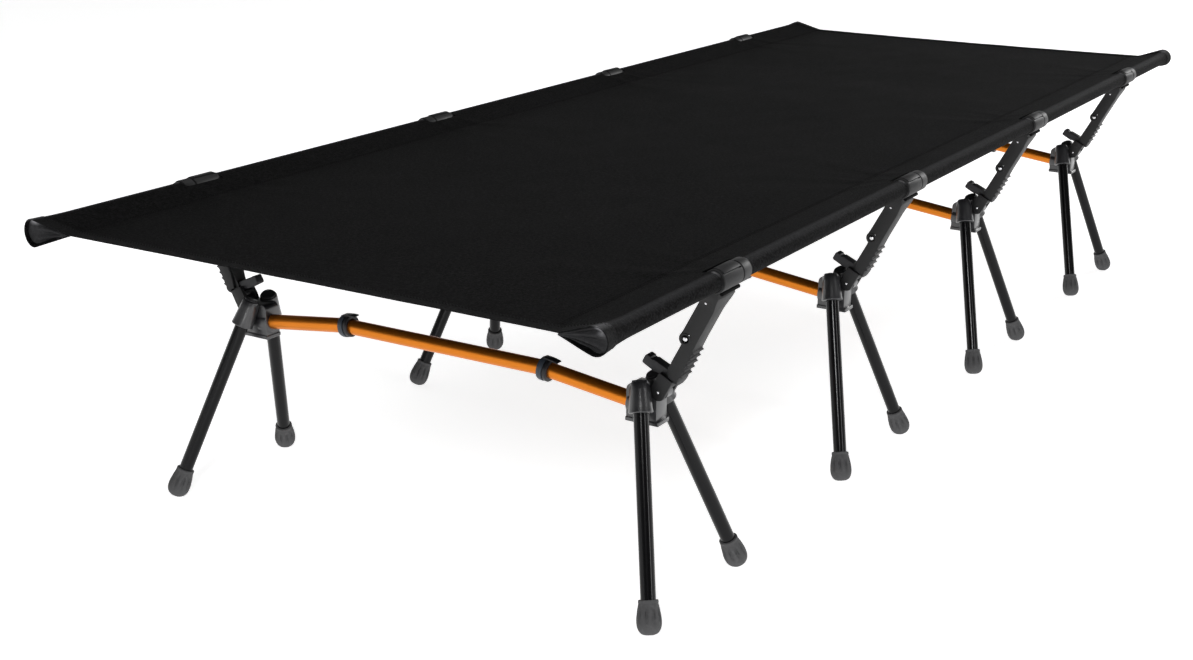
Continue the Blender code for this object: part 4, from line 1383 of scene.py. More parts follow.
def make_collar(half, bore):
    """Moulded collar with a ring groove and a raised pad on its upper outboard side."""
    r = COLLAR_RADIUS
    g = COLLAR_GROOVE
    w = COLLAR_GROOVE_HALF
    d = COLLAR_GROOVE_DEPTH
    rim = [(bore - 0.0002, half), (r - 0.0010, half), (r - 0.0003, half - 0.0003), (r, half - 0.0010)]
    profile = [(radius, -height) for radius, height in rim]
    profile += [(r, g - w - 0.0003), (r - d * 0.3, g - w), (r - d, g - w + 0.0002)]
    profile += [(r - d, g + w - 0.0002), (r - d * 0.3, g + w), (r, g + w + 0.0003)]
    shell = turned(profile + rim[::-1], POLE, (0, 1, 0), 48)
    margin = COLLAR_PAD_MARGIN
    aside = math.degrees(margin / r)
    pocket = pad_prism(r + COLLAR_PAD_CLEAR, r - margin, aside, margin, 14)
    pad = pad_prism(r + COLLAR_PAD_RISE, r - COLLAR_PAD_SINK, 0.0, 0.0, 12)
    piece = Piece("collar")
    piece.add(carved(shell, pocket))
    piece.add(soften(pad, 0.0005, 40.0))
    return piece.mesh("collar", 35.0)


def pad_prism(outer, inner, aside, beyond, steps):
    """The pad's part of a ring, widened by an angle at its sides and a length at its ends."""
    low = COLLAR_PAD_LOW - aside
    high = COLLAR_PAD_HIGH + aside
    outline = arc(POLE, outer, low, high, steps) + arc(POLE, inner, high, low, steps)
    return prism(outline, COLLAR_PAD_START - beyond, COLLAR_PAD_END + beyond)


# Crossbars
BAR_IN_BOSS = 0.012
BEND_EASE = 0.010
BEND_STEPS = 4
CATCH_HALF_WIDTH = 0.0048


def bar_path():
    """Centre line of a crossbar from left to right, with its two bends eased."""
    inner = BAR_FACE + BAR_LINE * BAR_IN_BOSS
    mirror = Vector((-1, 1, 1))
    line = [inner * mirror, BAR_BEND * mirror, BAR_BEND, inner]
    path = [line[0]]
    for before, corner, after in zip(line, line[1:], line[2:]):
        start = corner + (before - corner).normalized() * BEND_EASE
        end = corner + (after - corner).normalized() * BEND_EASE
        for i in range(BEND_STEPS + 1):
            share = i / BEND_STEPS
            path.append(start.lerp(corner, share).lerp(corner.lerp(end, share), share))
    return path + [line[-1]]


def swept(path, radius):
    """Tube along a path, closed at both ends."""
    bm = bmesh.new()
    place = standing(path[0], (path[1] - path[0]).normalized())
    steps = sizes().round_steps
    bmesh.ops.create_circle(bm, cap_ends=False, radius=radius, segments=steps, matrix=place)
    rim = list(bm.edges)
    for i in range(1, len(path)):
        before = path[i] - path[i - 1]
        after = path[i + 1] - path[i] if i + 1 < len(path) else before
        target = standing(path[i], (before.normalized() + after.normalized()).normalized())
        grown = bmesh.ops.extrude_edge_only(bm, edges=rim)["geom"]
        rim = picked(grown, bmesh.types.BMEdge)
        moved = picked(grown, bmesh.types.BMVert)
        bmesh.ops.transform(bm, matrix=target @ place.inverted(), verts=moved)
        place = target
    return capped(bm)


def make_crossbars():
    """Orange tubes with a ring, a flange and a catch at each joint."""
    bar = Piece("orange")
    bar.add(swept(bar_path(), sizes().bar_radius))
    tube = bar.mesh("bar", 30.0, (Vector((0, 0, BAR_BEND.z)), (1, 0, 0)))
    joints = {}
    for side, turn in (("left", -1), ("right", 1)):
        bend = Vector((turn * BAR_BEND.x, 0.0, BAR_BEND.z))
        line = Vector((BAR_LINE.x, 0.0, turn * BAR_LINE.z))
        joints[side] = make_joint(bend + line * RING_START, line)
    for i, y in enumerate(UNIT_PLACES):
        place = Matrix.Translation((0.0, y, 0.0))
        node = "crossbar_%d" % (i + 1)
        show_copy("crossbar_tube_%d" % (i + 1), tube, place, "cot", "crossbar", node)
        for side, mesh in joints.items():
            show_copy("crossbar_joint_%s_%d" % (side, i + 1), mesh, place, "cot", "crossbar")
    forget(tube, *joints.values())


def make_joint(start, line):
    """Blue-grey ring, dark flange and top catch where two tubes of a crossbar meet."""
    r = RING_RADIUS
    bore = sizes().bar_radius - 0.0002
    ring = [(bore, 0.0), (r - 0.0022, 0.0), (r - 0.0006, 0.0008), (r, 0.0024), (r, RING_LENGTH - 0.0006)]
    ring += [(r - 0.0005, RING_LENGTH), (bore, RING_LENGTH)]
    piece = Piece("joint", "black")
    piece.add(turned(ring, start, line, 40))
    f = RING_FLANGE_RADIUS
    a = RING_LENGTH
    b = a + RING_FLANGE_LENGTH
    flange = [(bore, a), (f - 0.0009, a), (f - 0.0009, a + 0.0012), (f - 0.0003, a + 0.0015)]
    flange += [(f, a + 0.0022), (f, b - 0.0014), (f - 0.0008, b - 0.0003), (f - 0.0020, b)]
    flange += [(bore + 0.0012, b - 0.0006), (bore, b - 0.0006)]
    piece.add(turned(flange, start, line, 40), 1)
    # The catch is drawn along X and then leant to the line of the joint
    top = r + CATCH_RISE
    reach = CATCH_LENGTH
    outline = [(0.0008, r - 0.0030), (0.0012, top - 0.0012), (0.0034, top - 0.0001), (0.0100, top)]
    outline += [(b + 0.0020, top - 0.0003), (reach - 0.0010, top - 0.0012), (reach, top - 0.0018)]
    outline += [(reach - 0.0004, top - 0.0028), (b + 0.0030, top - 0.0024)]
    outline += [(b, top - 0.0034), (b - 0.0010, r - 0.0040)]
    points = [Vector((x, 0.0, z)) for x, z in outline]
    catch = prism(points, -CATCH_HALF_WIDTH, CATCH_HALF_WIDTH)
    soften(catch, 0.0004, 30.0)
    lean = Matrix.Translation(start) @ Matrix.Rotation(-math.atan2(line.z, line.x), 4, "Y")
    bmesh.ops.transform(catch, matrix=lean, verts=catch.verts)
    piece.add(catch, 1)
    return piece.mesh("joint", 35.0)


# Hubs
HUB_FRONT = -0.0015
HUB_CORNER = 0.0075
HUB_SLOT_MARGIN = 0.002
TONGUE_EDGE = 0.0004
TONGUE_GAP = 0.0001
CAP_SINK = 0.0015
SOCKET_DEPTH = 0.0120


def leg_line(sign):
    """Top of a leg and its direction down, on the near (-1) or far (1) side of the hub."""
    foot = Vector((POLE.x - FOOT_INBOARD, FOOT_SPREAD, sizes().foot_radius - FOOT_FLAT_CUT))
    top = Vector((LEG_TOP.x, sign * LEG_TOP.y, LEG_TOP.z))
    foot.y *= sign
    return top, (foot - top).normalized(), foot


def hub_point(x, z):
    return HUB_PIVOT + Vector((x, 0.0, z))


def make_hubs():
    """Glossy hub with a boss for the crossbar, two leg sockets and the tongue for the arm."""
    piece = Piece("gloss", "black")
    face = -HUB_FACE_INBOARD
    dome = HUB_DOME_RISE
    base = -HUB_BASE_DROP + FLANGE_THICKNESS * 0.5
    reach = CHEEK_RADIUS + SWING_GAP
    outline = placed(
        hub_point,
        (face, base),
        (HUB_FRONT, base),
        (HUB_FRONT, -reach),
        (HUB_FRONT, -TONGUE_RADIUS * 0.6),
        (-TONGUE_RADIUS * 0.68, TONGUE_RADIUS * 0.6),
        (-TONGUE_RADIUS * 1.2, dome),
    )
    outline += arc(hub_point(face + HUB_CORNER, dome - HUB_CORNER), HUB_CORNER, 90.0, 180.0, 6)
    body = prism(outline, -HUB_HALF_WIDTH, HUB_HALF_WIDTH)
    front = -ARM_FRONT - SWING_GAP
    corners = placed(link, (0.0, front), (ARM_SHOULDER, front), (ARM_SHOULDER, ARM_BACK), (0.0, ARM_BACK))
    swing = arc(HUB_PIVOT, reach, 0.0, 350.0, 35)
    slots = []
    for side in (-1, 1):
        low, high = sorted((side * TONGUE_HALF_WIDTH, side * (ARM_HALF_WIDTH + HUB_SLOT_MARGIN)))
        slots += [prism(corners, low, high), prism(swing, low, high)]
    piece.add(soften(carved(body, *slots), 0.0005, 35.0))
    wide = TONGUE_HALF_WIDTH - TONGUE_GAP
    tongue = [(0.0, wide), (TONGUE_RADIUS - TONGUE_EDGE, wide), (TONGUE_RADIUS, wide - TONGUE_EDGE)]
    piece.add(turned(mirrored(tongue), HUB_PIVOT, (0, 1, 0), 32))
    low = (HUB_PIVOT.x + face - 0.0010, -FLANGE_HALF_WIDTH, HUB_PIVOT.z - HUB_BASE_DROP)
    high = (HUB_PIVOT.x + 0.0015, FLANGE_HALF_WIDTH, low[2] + FLANGE_THICKNESS)
    piece.add(soften(block(low, high), 0.0010, 30.0, 3))
    r = BAR_BOSS_RADIUS
    bore = sizes().bar_radius
    boss = [(bore - 0.0002, -0.0010), (bore + 0.0022, -0.0010), (r - 0.0008, 0.0), (r, 0.0012)]
    boss += [(r, BAR_BOSS_LENGTH), (0.0, BAR_BOSS_LENGTH)]
    piece.add(turned(boss, BAR_FACE, BAR_LINE, 36))
    cap = rounded_profile(CAP_RADIUS, CAP_HEIGHT + CAP_SINK, 0.0006)
    for _, sign in ENDS:
        piece.add(leg_socket(sign))
        top, down, _ = leg_line(sign)
        piece.add(turned(cap, top + down * CAP_SINK, -down, 32), 1)
    repeat("hub_body_{}", piece.mesh("hub", 35.0), "cot", "hub", "hub_{}")


def leg_socket(sign):
    """Conical glossy socket with a rolled lower lip."""
    top, down, _ = leg_line(sign)
    length = SOCKET_LENGTH
    wide = SOCKET_RADIUS
    narrow = SOCKET_TOP_RADIUS
    inner = sizes().leg_radius + 0.0003
    floor = length - SOCKET_DEPTH
    profile = [(0.0, 0.0), (narrow - 0.0018, 0.0), (narrow - 0.0006, 0.0004), (narrow, 0.0016)]
    profile += [lerp((narrow, 0.0), (wide, length), share) for share in (0.25, 0.5, 0.75)]
    profile += [(wide, length - 0.0024), (wide + 0.0002, length - 0.0012), (wide - 0.0002, length - 0.0004)]
    profile += [(wide - 0.0012, length), (inner + 0.0006, length), (inner, length - 0.0006)]
    profile += [(inner, floor), (0.0, floor)]
    return turned(profile, top, down, 44)


# Legs
LEG_IN_SOCKET = 0.0100
LEG_END_GAP = 0.006
FLUTE_COUNT = 10
FLUTE_DEPTH = 0.0024
FOOT_FULLNESS = 0.62
FOOT_TOP_RADIUS = 0.0110
FOOT_COLLAR = 0.0044
FOOT_STEPS = 8
FLUTE_STEPS = 8
FLUTE_TOP = 0.0060
FLUTE_REACH = 0.35


def make_legs():
    """Black tubes with fluted rubber feet, cut flat where they stand."""
    radius = sizes().leg_radius
    others = {"near": "far", "far": "near"}
    for end, sign in ENDS:
        top, down, foot = leg_line(sign)
        start = top + down * (SOCKET_LENGTH - LEG_IN_SOCKET)
        length = (foot - start).length - LEG_END_GAP
        piece = Piece("leg")
        piece.add(turned([(0.0, 0.0), (radius, 0.0), (radius, length), (0.0, length)], start, down, 36))
        tube = piece.mesh("leg", 30.0, (start, down))
        rubber = make_foot(foot, down)
        for tag, place in halves():
            # A turned half swaps which of its two legs is nearer the end at -Y
            spot = "%s_%s" % (tag, end if tag.startswith("right") else others[end])
            for kind, mesh in (("leg_tube_", tube), ("leg_foot_", rubber)):
                show_copy(kind + spot, mesh, place, "cot", "leg", "leg_" + spot)
        forget(tube, rubber)


def make_foot(centre, down):
    """Rubber foot with drop-shaped flutes, its lowest point cut level with the floor."""
    ball = sizes().foot_radius
    rise = sizes().foot_height - ball
    rim = FOOT_TOP_RADIUS
    inner = sizes().leg_radius - 0.0002
    profile = [(inner, rise), (rim - 0.0006, rise), (rim, rise - 0.0005)]
    profile += [(rim + 0.0001, rise - 0.0032), (rim - 0.0002, rise - 0.0038)]
    for i in range(FOOT_STEPS + 1):
        share = i / FOOT_STEPS
        side = rim + (ball - rim) * math.sin(math.pi / 2 * share)
        profile.append((side, (rise - FOOT_COLLAR) * (1.0 - share)))
    for turn in turns(0.0, 90.0, FOOT_STEPS)[1:]:
        profile.append((ball * math.cos(turn) ** FOOT_FULLNESS, -ball * math.sin(turn)))
    profile[-1] = (0.0, -ball)
    bm = turned(profile, (0, 0, 0), (0, 0, 1), FLUTE_COUNT * FLUTE_STEPS)
    top = rise - FLUTE_TOP
    for vert in bm.verts:
        radius = math.hypot(vert.co.x, vert.co.y)
        if radius < inner + 0.0008:
            continue
        share = (top - vert.co.z) / (top + ball * FLUTE_REACH)
        if not 0.0 < share < 1.0:
            continue
        turn = math.atan2(vert.co.y, vert.co.x) * FLUTE_COUNT
        width = math.sin(math.pi * share ** 0.75)
        hollow = max(0.0, math.cos(turn) - 0.9 + 0.95 * width)
        shrink = 1.0 - FLUTE_DEPTH * min(1.0, hollow * 1.5) * width / radius
        vert.co.x *= shrink
        vert.co.y *= shrink
    bmesh.ops.transform(bm, matrix=standing(centre, -down), verts=bm.verts)
    cut = bmesh.ops.bisect_plane(
        bm,
        geom=everything(bm),
        plane_co=(0, 0, 0),
        plane_no=(0, 0, 1),
        clear_inner=True,
    )
    bmesh.ops.holes_fill(bm, edges=picked(cut["geom_cut"], bmesh.types.BMEdge), sides=0)
    piece = Piece("rubber")
    piece.add(tidy(bm))
    return piece.mesh("foot", 45.0)


# Levers
CUT_CLEAR = 0.03
GRIP_FACE = 0.0039
GRIP_FACE_LENGTH = 0.0181
PALM_FACE = -0.0011
CRADLE_LIP_ANGLE = 6.0
TONGUE_STATIONS = (0.12, 0.3, 0.55, 1.0)
FLARE_STATIONS = (0.0, 0.2, 0.4, 0.6, 0.8, 1.0)
TOOTH_STEPS = ((0.25, 0.22), (0.48, 0.68), (0.60, 1.0), (0.66, 0.92), (0.70, 0.10))
TOOTH_SINK = 0.0012


def back_of_grip(along):
    """Outboard face of the grip, which slopes from its end to the neck."""
    share = (along + TOOTH_START) / (TOOTH_START + BOSS_RADIUS)
    return GRIP_BACK + (NECK_BACK - GRIP_BACK) * share


def half_width(along):
    """Half width of the lever as seen from its back."""
    if along < GRIP_END + TONGUE_FLARE:
        share = smooth((along - GRIP_END) / TONGUE_FLARE)
        return GRIP_TONGUE_HALF_WIDTH + (LEVER_HALF_WIDTH - GRIP_TONGUE_HALF_WIDTH) * math.sqrt(share)
    share = smooth((along - HEAD_LENGTH + FLARE_LENGTH) / FLARE_LENGTH)
    return LEVER_HALF_WIDTH + (HEAD_HALF_WIDTH - LEVER_HALF_WIDTH) * share


def lever_body():
    """Channel-shaped handle that flares into the cradle under the pole."""
    inner = COLLAR_RADIUS + CRADLE_GAP + LINER_WALL
    outer = COLLAR_RADIUS + CRADLE_GAP + CRADLE_WALL
    behind = PAST_CENTRE + ARM_BACK + SWING_GAP
    outline = placed(
        handle,
        (GRIP_END, GRIP_BACK + GRIP_LIP),
        (GRIP_END, behind),
        (-GRIP_LENGTH, behind),
        (-GRIP_LENGTH, GRIP_FACE),
        (-GRIP_LENGTH + GRIP_FACE_LENGTH, PALM_FACE),
        (-BOSS_RADIUS - 0.0035, PALM_FACE),
    )
    outline += handle_arc(0.0, 0.0, BOSS_RADIUS, 190.0, 290.0, 9)
    outline += placed(handle, (BOSS_RADIUS, -NECK_FRONT), (NECK_LENGTH, -NECK_FRONT))
    outline.append(POLE + Vector((-outer, 0.0, 0.0)))
    outline += arc(POLE, inner, 180.0, CRADLE_END, 18)
    outline += arc(POLE, outer, CRADLE_END, CRADLE_END - CRADLE_LIP_ANGLE, 1)
    outline += placed(
        handle,
        (HEAD_LENGTH, HEAD_BACK),
        (BOSS_RADIUS, NECK_BACK),
        (-TOOTH_START, back_of_grip(-TOOTH_START)),
        (-GRIP_LENGTH + 0.0048, GRIP_BACK + GRIP_LIP * 0.6),
    )
    bm = prism(outline, -1.0, 1.0)
    stations = [GRIP_END + TONGUE_FLARE * share for share in TONGUE_STATIONS]
    stations += [HEAD_LENGTH - FLARE_LENGTH * (1.0 - share) for share in FLARE_STATIONS]
    for along in stations:
        bmesh.ops.bisect_plane(bm, geom=everything(bm), plane_co=handle(along, 0.0), plane_no=ALONG)
    for vert in bm.verts:
        along = (flat(vert.co) - LEVER_PIVOT).dot(ALONG)
        vert.co.y = math.copysign(half_width(along), vert.co.y)
    hollow = placed(
        handle,
        (-CHANNEL_START, -CUT_CLEAR),
        (-CHANNEL_START, CHANNEL_DEPTH),
        (CHANNEL_LENGTH, CHANNEL_DEPTH),
        (CHANNEL_LENGTH + 0.003, CHANNEL_DEPTH - 0.004),
        (CHANNEL_LENGTH + 0.003, -CUT_CLEAR),
    )
    return carved(bm, prism(hollow, -CHANNEL_HALF_WIDTH, CHANNEL_HALF_WIDTH))


def lever_teeth():
    """Ribs across the back of the grip."""
    def above(along, rise):
        """Point at a height above the back of the grip."""
        return handle(along, back_of_grip(along) + rise)

    points = [above(-TOOTH_START, -TOOTH_SINK), above(-TOOTH_START, -0.0001)]
    for i in range(TOOTH_COUNT):
        start = -TOOTH_START + TOOTH_PITCH * i
        points += [above(start + TOOTH_PITCH * share, TOOTH_HEIGHT * rise) for share, rise in TOOTH_STEPS]
        points.append(above(start + TOOTH_PITCH * 0.98, -0.0001))
    points.append(above(-TOOTH_START + TOOTH_PITCH * TOOTH_COUNT, -TOOTH_SINK))
    return prism(points, -TOOTH_HALF_WIDTH, TOOTH_HALF_WIDTH)


def boss_ring(sign):
    """Raised ring round the pivot's pin on one side of a lever."""
    origin = LEVER_PIVOT + Vector((0.0, sign * (LEVER_HALF_WIDTH - 0.0002), 0.0))
    rim = BOSS_RADIUS - 0.0008
    profile = [(0.0, 0.0), (rim, 0.0), (rim, 0.0005), (rim - 0.0008, 0.0009)]
    profile += [(0.0052, 0.0009), (0.0046, 0.0005), (0.0042, 0.0002), (0.0, 0.0002)]
    return turned(profile, origin, (0, sign, 0), 36)


def make_levers():
    """Levers with their black cradle liners and steel pins."""
    body = Piece("grip")
    body.add(soften(lever_body(), 0.0007, 28.0))
    body.add(soften(lever_teeth(), 0.00025, 40.0, 1))
    for _, sign in ENDS:
        body.add(boss_ring(sign))
    repeat("lever_body_{}", body.mesh("lever", 30.0), "lever_{}", "lever", "lever_{}")
    # The liner and its bead are near black: the black plate under the collar, darkened further as a painted
    # shadow in the gap there
    liner = Piece("liner")
    inner = COLLAR_RADIUS + CRADLE_GAP
    outer = inner + LINER_WALL + 0.0001
    half = HEAD_HALF_WIDTH - 0.0003
    outline = arc(POLE, inner, LINER_START, LINER_BEAD_ANGLE - 4.0, 20)
    outline += arc(POLE, outer, LINER_BEAD_ANGLE - 4.0, LINER_START, 20)
    liner.add(soften(prism(outline, -half, half), 0.0004, 50.0))
    bead = arc(POLE, inner + LINER_BEAD + 0.0001, LINER_BEAD_ANGLE, LINER_BEAD_ANGLE, 1)[0]
    profile = rounded_profile(LINER_BEAD, 2 * half, 0.0005)
    liner.add(turned(profile, bead - Vector((0.0, half, 0.0)), (0, 1, 0), 16))
    repeat("lever_liner_{}", liner.mesh("liner", 35.0), "lever_{}", "lever")
    pins = Piece("steel")
    for _, sign in ENDS:
        side = Vector((0.0, sign * LEVER_HALF_WIDTH, 0.0))
        pins.add(turned(button(0.0029, 0.0011), LEVER_PIVOT + side, (0, sign, 0), 24))
        pins.add(turned(button(0.0011, 0.0005), handle(*SIDE_RIVET) + side, (0, sign, 0), 16))
        wide = half_width(TOP_RIVET[0]) - 0.0002
        pins.add(turned(button(0.0016, 0.0007), handle(*TOP_RIVET, sign * wide), (0, sign, 0), 20))
    repeat("lever_pins_{}", pins.mesh("pins", 40.0), "lever_{}", "lever")


# Arms
TAB_SLOT_START = 0.0062
TAB_SLOT_LENGTH = 0.0146
TAB_SLOT_DEPTH = 0.0025
ARM_NECK_START = ARM_SHOULDER - 0.006
ARM_PIN_RADIUS = 0.0023
ARM_PIN_HALF = 0.0118


def make_arms():
    """Forked arms with the pins that join them to their hubs."""
    low = (TAB_PIVOT - HUB_PIVOT).dot(ALONG) - TAB_SLOT_START
    high = low + TAB_SLOT_LENGTH
    slot = placed(link, (low, -CUT_CLEAR), (low, TAB_SLOT_DEPTH))
    slot += placed(link, (high, TAB_SLOT_DEPTH), (high, -CUT_CLEAR))
    gap = placed(link, (-0.02, -0.02), (-0.02, 0.02), (WEB_START, 0.02), (WEB_START, -0.02))
    outline = handle_arc(0.0, 0.0, CHEEK_RADIUS, 245.0, 115.0, 12, link)
    outline += placed(
        link,
        (0.004, ARM_BACK),
        (ARM_SHOULDER, ARM_BACK),
        (ARM_SHOULDER, -ARM_FRONT + 0.001),
        (0.008, -ARM_FRONT),
    )
    body = prism(outline, -ARM_HALF_WIDTH, ARM_HALF_WIDTH)
    cuts = [prism(shape, -CHEEK_INNER, CHEEK_INNER) for shape in (gap, slot)]
    piece = Piece("grip")
    piece.add(soften(carved(body, *cuts)))
    outline = placed(
        link,
        (ARM_NECK_START, -ARM_NECK_FRONT),
        (ARM_REACH - ARM_EYE_RADIUS - 0.0015, -ARM_NECK_FRONT),
    )
    outline += handle_arc(ARM_REACH, -PAST_CENTRE, ARM_EYE_RADIUS, -100.0, 90.0, 14, link)
    outline += placed(link, (ARM_REACH - 0.014, ARM_NECK_BACK), (ARM_NECK_START, ARM_NECK_BACK))
    neck = prism(outline, -ARM_NECK_HALF_WIDTH, ARM_NECK_HALF_WIDTH)
    piece.add(soften(carved(neck, prism(slot, -CHEEK_INNER, CHEEK_INNER)), 0.0005))
    repeat("arm_body_{}", piece.mesh("arm", 30.0), "arm_{}", "lever", "arm_{}")
    pins = Piece("steel")
    shaft = mirrored([(0.0, ARM_PIN_HALF), (ARM_PIN_RADIUS, ARM_PIN_HALF)])
    pins.add(turned(shaft, HUB_PIVOT, (0, 1, 0), 20))
    for _, sign in ENDS:
        side = Vector((0.0, sign * (ARM_HALF_WIDTH - 0.0001), 0.0))
        pins.add(turned(button(0.0019, 0.0008), HUB_PIVOT + side, (0, sign, 0), 20))
    repeat("arm_pins_{}", pins.mesh("pins", 40.0), "arm_{}", "lever")


# Release tabs
def make_tabs():
    """Small black push tabs."""
    def at(reach, rise):
        """Point of the tab: reach away from the arm, rise along it."""
        return TAB_PIVOT - OUT * reach + ALONG * rise

    root = TAB_ROOT_THICKNESS / 2
    half = TAB_THICKNESS / 2
    top = half + TAB_TOP_RISE
    barrel = TAB_BARREL_RADIUS
    notch = TAB_LENGTH - TAB_NOTCH_LENGTH
    floor = half - TAB_NOTCH_DEPTH + 0.0003
    outline = placed(
        at,
        (TAB_NECK_LENGTH, -root),
        (TAB_NECK_LENGTH + 0.0035, -half),
        (TAB_LENGTH - 0.0022, -half),
        (TAB_LENGTH - 0.0006, -half + 0.0006),
        (TAB_LENGTH, -half + 0.0022),
        (TAB_LENGTH, half - 0.0030),
        (TAB_LENGTH - 0.0005, half - 0.0008),
        (TAB_LENGTH - 0.0020, half),
        (notch + 0.0010, half + 0.0003),
        (notch, floor),
        (notch - 0.0025, floor),
        (notch - 0.0035, half + 0.0005),
        (barrel * 0.3, top),
        (-barrel * 0.4, top - 0.0015),
    )
    outline += handle_arc(0.0, 0.0, barrel, 135.0, 290.0, 8, at)
    piece = Piece("black")
    piece.add(soften(prism(outline, -TAB_HALF_WIDTH, TAB_HALF_WIDTH), angle=25.0, segments=3))
    repeat("tab_body_{}", piece.mesh("tab", 30.0), "tab_{}", "tab", "tab_{}")


# Operators
class CotOperator:
    """What the operators share: each builds its pieces and reports that it is done."""

    bl_options = {"REGISTER", "UNDO"}

    def execute(self, context):
        self.make()
        return {"FINISHED"}


class COT_OT_fabric(CotOperator, bpy.types.Operator):
    """Builds the stretched bed with its sleeves, hems, linings, bindings and stitching"""

    bl_idname = "cot.fabric"
    bl_label = "Fabric"

    def make(self):
        sheet = make_canvas()
        extras = make_hems() + make_linings() + make_bindings() + make_stitches()


class COT_OT_poles(CotOperator, bpy.types.Operator):
    """Builds the two side poles and their moulded collars"""

    bl_idname = "cot.poles"
    bl_label = "Poles and collars"

    def make(self):
        make_poles()


class COT_OT_crossbars(CotOperator, bpy.types.Operator):
    """Builds the orange crossbars and their joints"""

    bl_idname = "cot.crossbars"
    bl_label = "Crossbars"

    def make(self):
        make_crossbars()


class COT_OT_hubs(CotOperator, bpy.types.Operator):
    """Builds the glossy hubs"""

    bl_idname = "cot.hubs"
    bl_label = "Hubs"

    def make(self):
        make_hubs()


class COT_OT_legs(CotOperator, bpy.types.Operator):
    """Builds the leg tubes and their rubber feet"""

    bl_idname = "cot.legs"
    bl_label = "Legs and feet"

    def make(self):
        make_legs()


class COT_OT_levers(CotOperator, bpy.types.Operator):
    """Builds the levers with their liners and pins"""

    bl_idname = "cot.levers"
    bl_label = "Levers"

    def make(self):
        make_levers()


class COT_OT_arms(CotOperator, bpy.types.Operator):
    """Builds the forked arms and their pins"""

    bl_idname = "cot.arms"
    bl_label = "Arms"

    def make(self):
        make_arms()


class COT_OT_tabs(CotOperator, bpy.types.Operator):
    """Builds the release tabs"""

    bl_idname = "cot.tabs"
    bl_label = "Release tabs"

    def make(self):
        make_tabs()


class COT_OT_stage(CotOperator, bpy.types.Operator):
    """Builds the floor, lights and camera"""

    bl_idname = "cot.stage"
    bl_label = "Stage and camera"

    def make(self):
        make_floor()
        make_lights()
        make_camera()


# Stage
SWEEP = ((0.0, 0.0), (50.0, 0.0), (55.0, 0.8), (58.5, 2.6), (60.0, 5.5), (60.0, 9.0))
WORLD_STRENGTH = 0.10
FLOOR_STEPS = 96

# Area lights: name, place, target, width, height and watts
LIGHTS = (
    ("key_box", (1.45, -3.3, 2.05), (0.3, -0.5, 0.25), 0.5, 0.6, 40.0),
    ("low_box", (1.45, -3.3, 0.38), (0.35, -0.85, 0.22), 0.28, 0.45, 5.0),
    ("side_box", (3.2, -0.7, 1.0), (0.3, 0.1, 0.25), 0.4, 1.2, 15.0),
    ("back_box", (1.7, 4.6, 2.0), (0.3, 0.2, 0.35), 1.6, 1.0, 90.0),
    ("fill_wall", (-2.8, -4.6, 1.15), (0.2, -0.5, 0.25), 5.0, 2.1, 6.5),
    ("top_box", (-0.5, 0.6, 3.2), (0.0, 0.2, 0.3), 2.6, 2.6, 20.0),
)


def make_floor():
    """Round floor that curves up into a low wall."""
    bm = turned(SWEEP, (0, 0, 0), (0, 0, 1), FLOOR_STEPS)
    mesh = as_mesh(bm, "studio_floor")
    mesh.materials.append(look_of("floor"))
    mesh.shade_smooth()
    made = added("studio_floor", mesh)


def area_light(name, place, target, width, height, power):
    light = bpy.data.lights.new(name, "AREA")
    light.shape = "RECTANGLE"
    light.size = width
    light.size_y = height
    light.energy = power
    made = added(name, light)
    aim = (Vector(target) - Vector(place)).to_track_quat("-Z", "Y")
    made.matrix_world = Matrix.Translation(place) @ aim.to_matrix().to_4x4()


def make_lights():
    world = bpy.data.worlds.new("studio")
    world.use_nodes = True
    background = world.node_tree.nodes["Background"]
    background.inputs["Color"].default_value = (1.0, 1.0, 1.0, 1.0)
    background.inputs["Strength"].default_value = WORLD_STRENGTH
    bpy.context.scene.world = world
    for row in LIGHTS:
        area_light(*row)
    bpy.context.scene.view_settings.view_transform = "Standard"


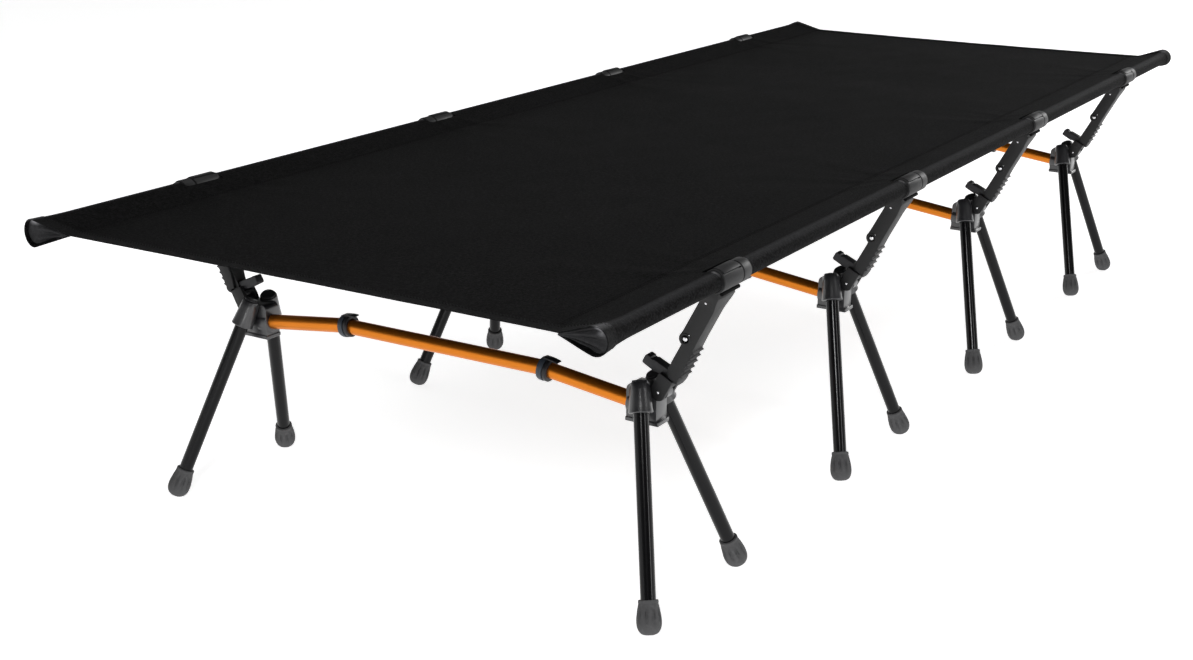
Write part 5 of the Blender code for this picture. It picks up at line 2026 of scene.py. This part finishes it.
def make_camera():
    data = bpy.data.cameras.new("photo_camera")
    data.sensor_fit = "HORIZONTAL"
    data.sensor_width = SENSOR_WIDTH
    data.lens = FOCAL_PIXELS * SENSOR_WIDTH / PHOTO_WIDTH
    data.clip_start = CLIP_START
    data.clip_end = CLIP_END
    made = added("photo_camera", data)
    turn = Matrix.Rotation(math.radians(CAMERA_AZIMUTH), 4, "Z")
    tilt = Matrix.Rotation(math.radians(90.0 - CAMERA_PITCH), 4, "X")
    roll = Matrix.Rotation(math.radians(CAMERA_ROLL), 4, "Z")
    made.matrix_world = Matrix.Translation(CAMERA_PLACE) @ turn @ tilt @ roll
    bpy.context.scene.camera = made


OPERATORS = (
    COT_OT_fabric,
    COT_OT_poles,
    COT_OT_crossbars,
    COT_OT_hubs,
    COT_OT_legs,
    COT_OT_levers,
    COT_OT_arms,
    COT_OT_tabs,
    COT_OT_stage,
)


class COT_PT_panel(bpy.types.Panel):
    """Lists the cot's sizes, colours and operators"""

    bl_label = "Camping cot"
    bl_idname = "COT_PT_panel"
    bl_space_type = "VIEW_3D"
    bl_region_type = "UI"
    bl_category = "Camping cot"

    def draw(self, context):
        for group in (context.scene.cot_sizes, context.scene.cot_colours):
            column = self.layout.column(align=True)
            for name in group.__annotations__:
                column.prop(group, name)
        column = self.layout.column(align=True)
        for operator in OPERATORS:
            column.operator(operator.bl_idname)


CLASSES = (CotSizes, CotColours) + OPERATORS + (COT_PT_panel,)


def register():
    for item in CLASSES:
        bpy.utils.register_class(item)
    bpy.types.Scene.cot_sizes = PointerProperty(type=CotSizes)
    bpy.types.Scene.cot_colours = PointerProperty(type=CotColours)


def unregister():
    del bpy.types.Scene.cot_colours
    del bpy.types.Scene.cot_sizes
    for item in reversed(CLASSES):
        bpy.utils.unregister_class(item)


def main():
    register()
    bpy.ops.cot.poles()
    bpy.ops.cot.fabric()
    bpy.ops.cot.crossbars()
    bpy.ops.cot.hubs()
    bpy.ops.cot.legs()
    bpy.ops.cot.levers()
    bpy.ops.cot.arms()
    bpy.ops.cot.tabs()
    bpy.ops.cot.stage()


if __name__ == "__main__":
    main()
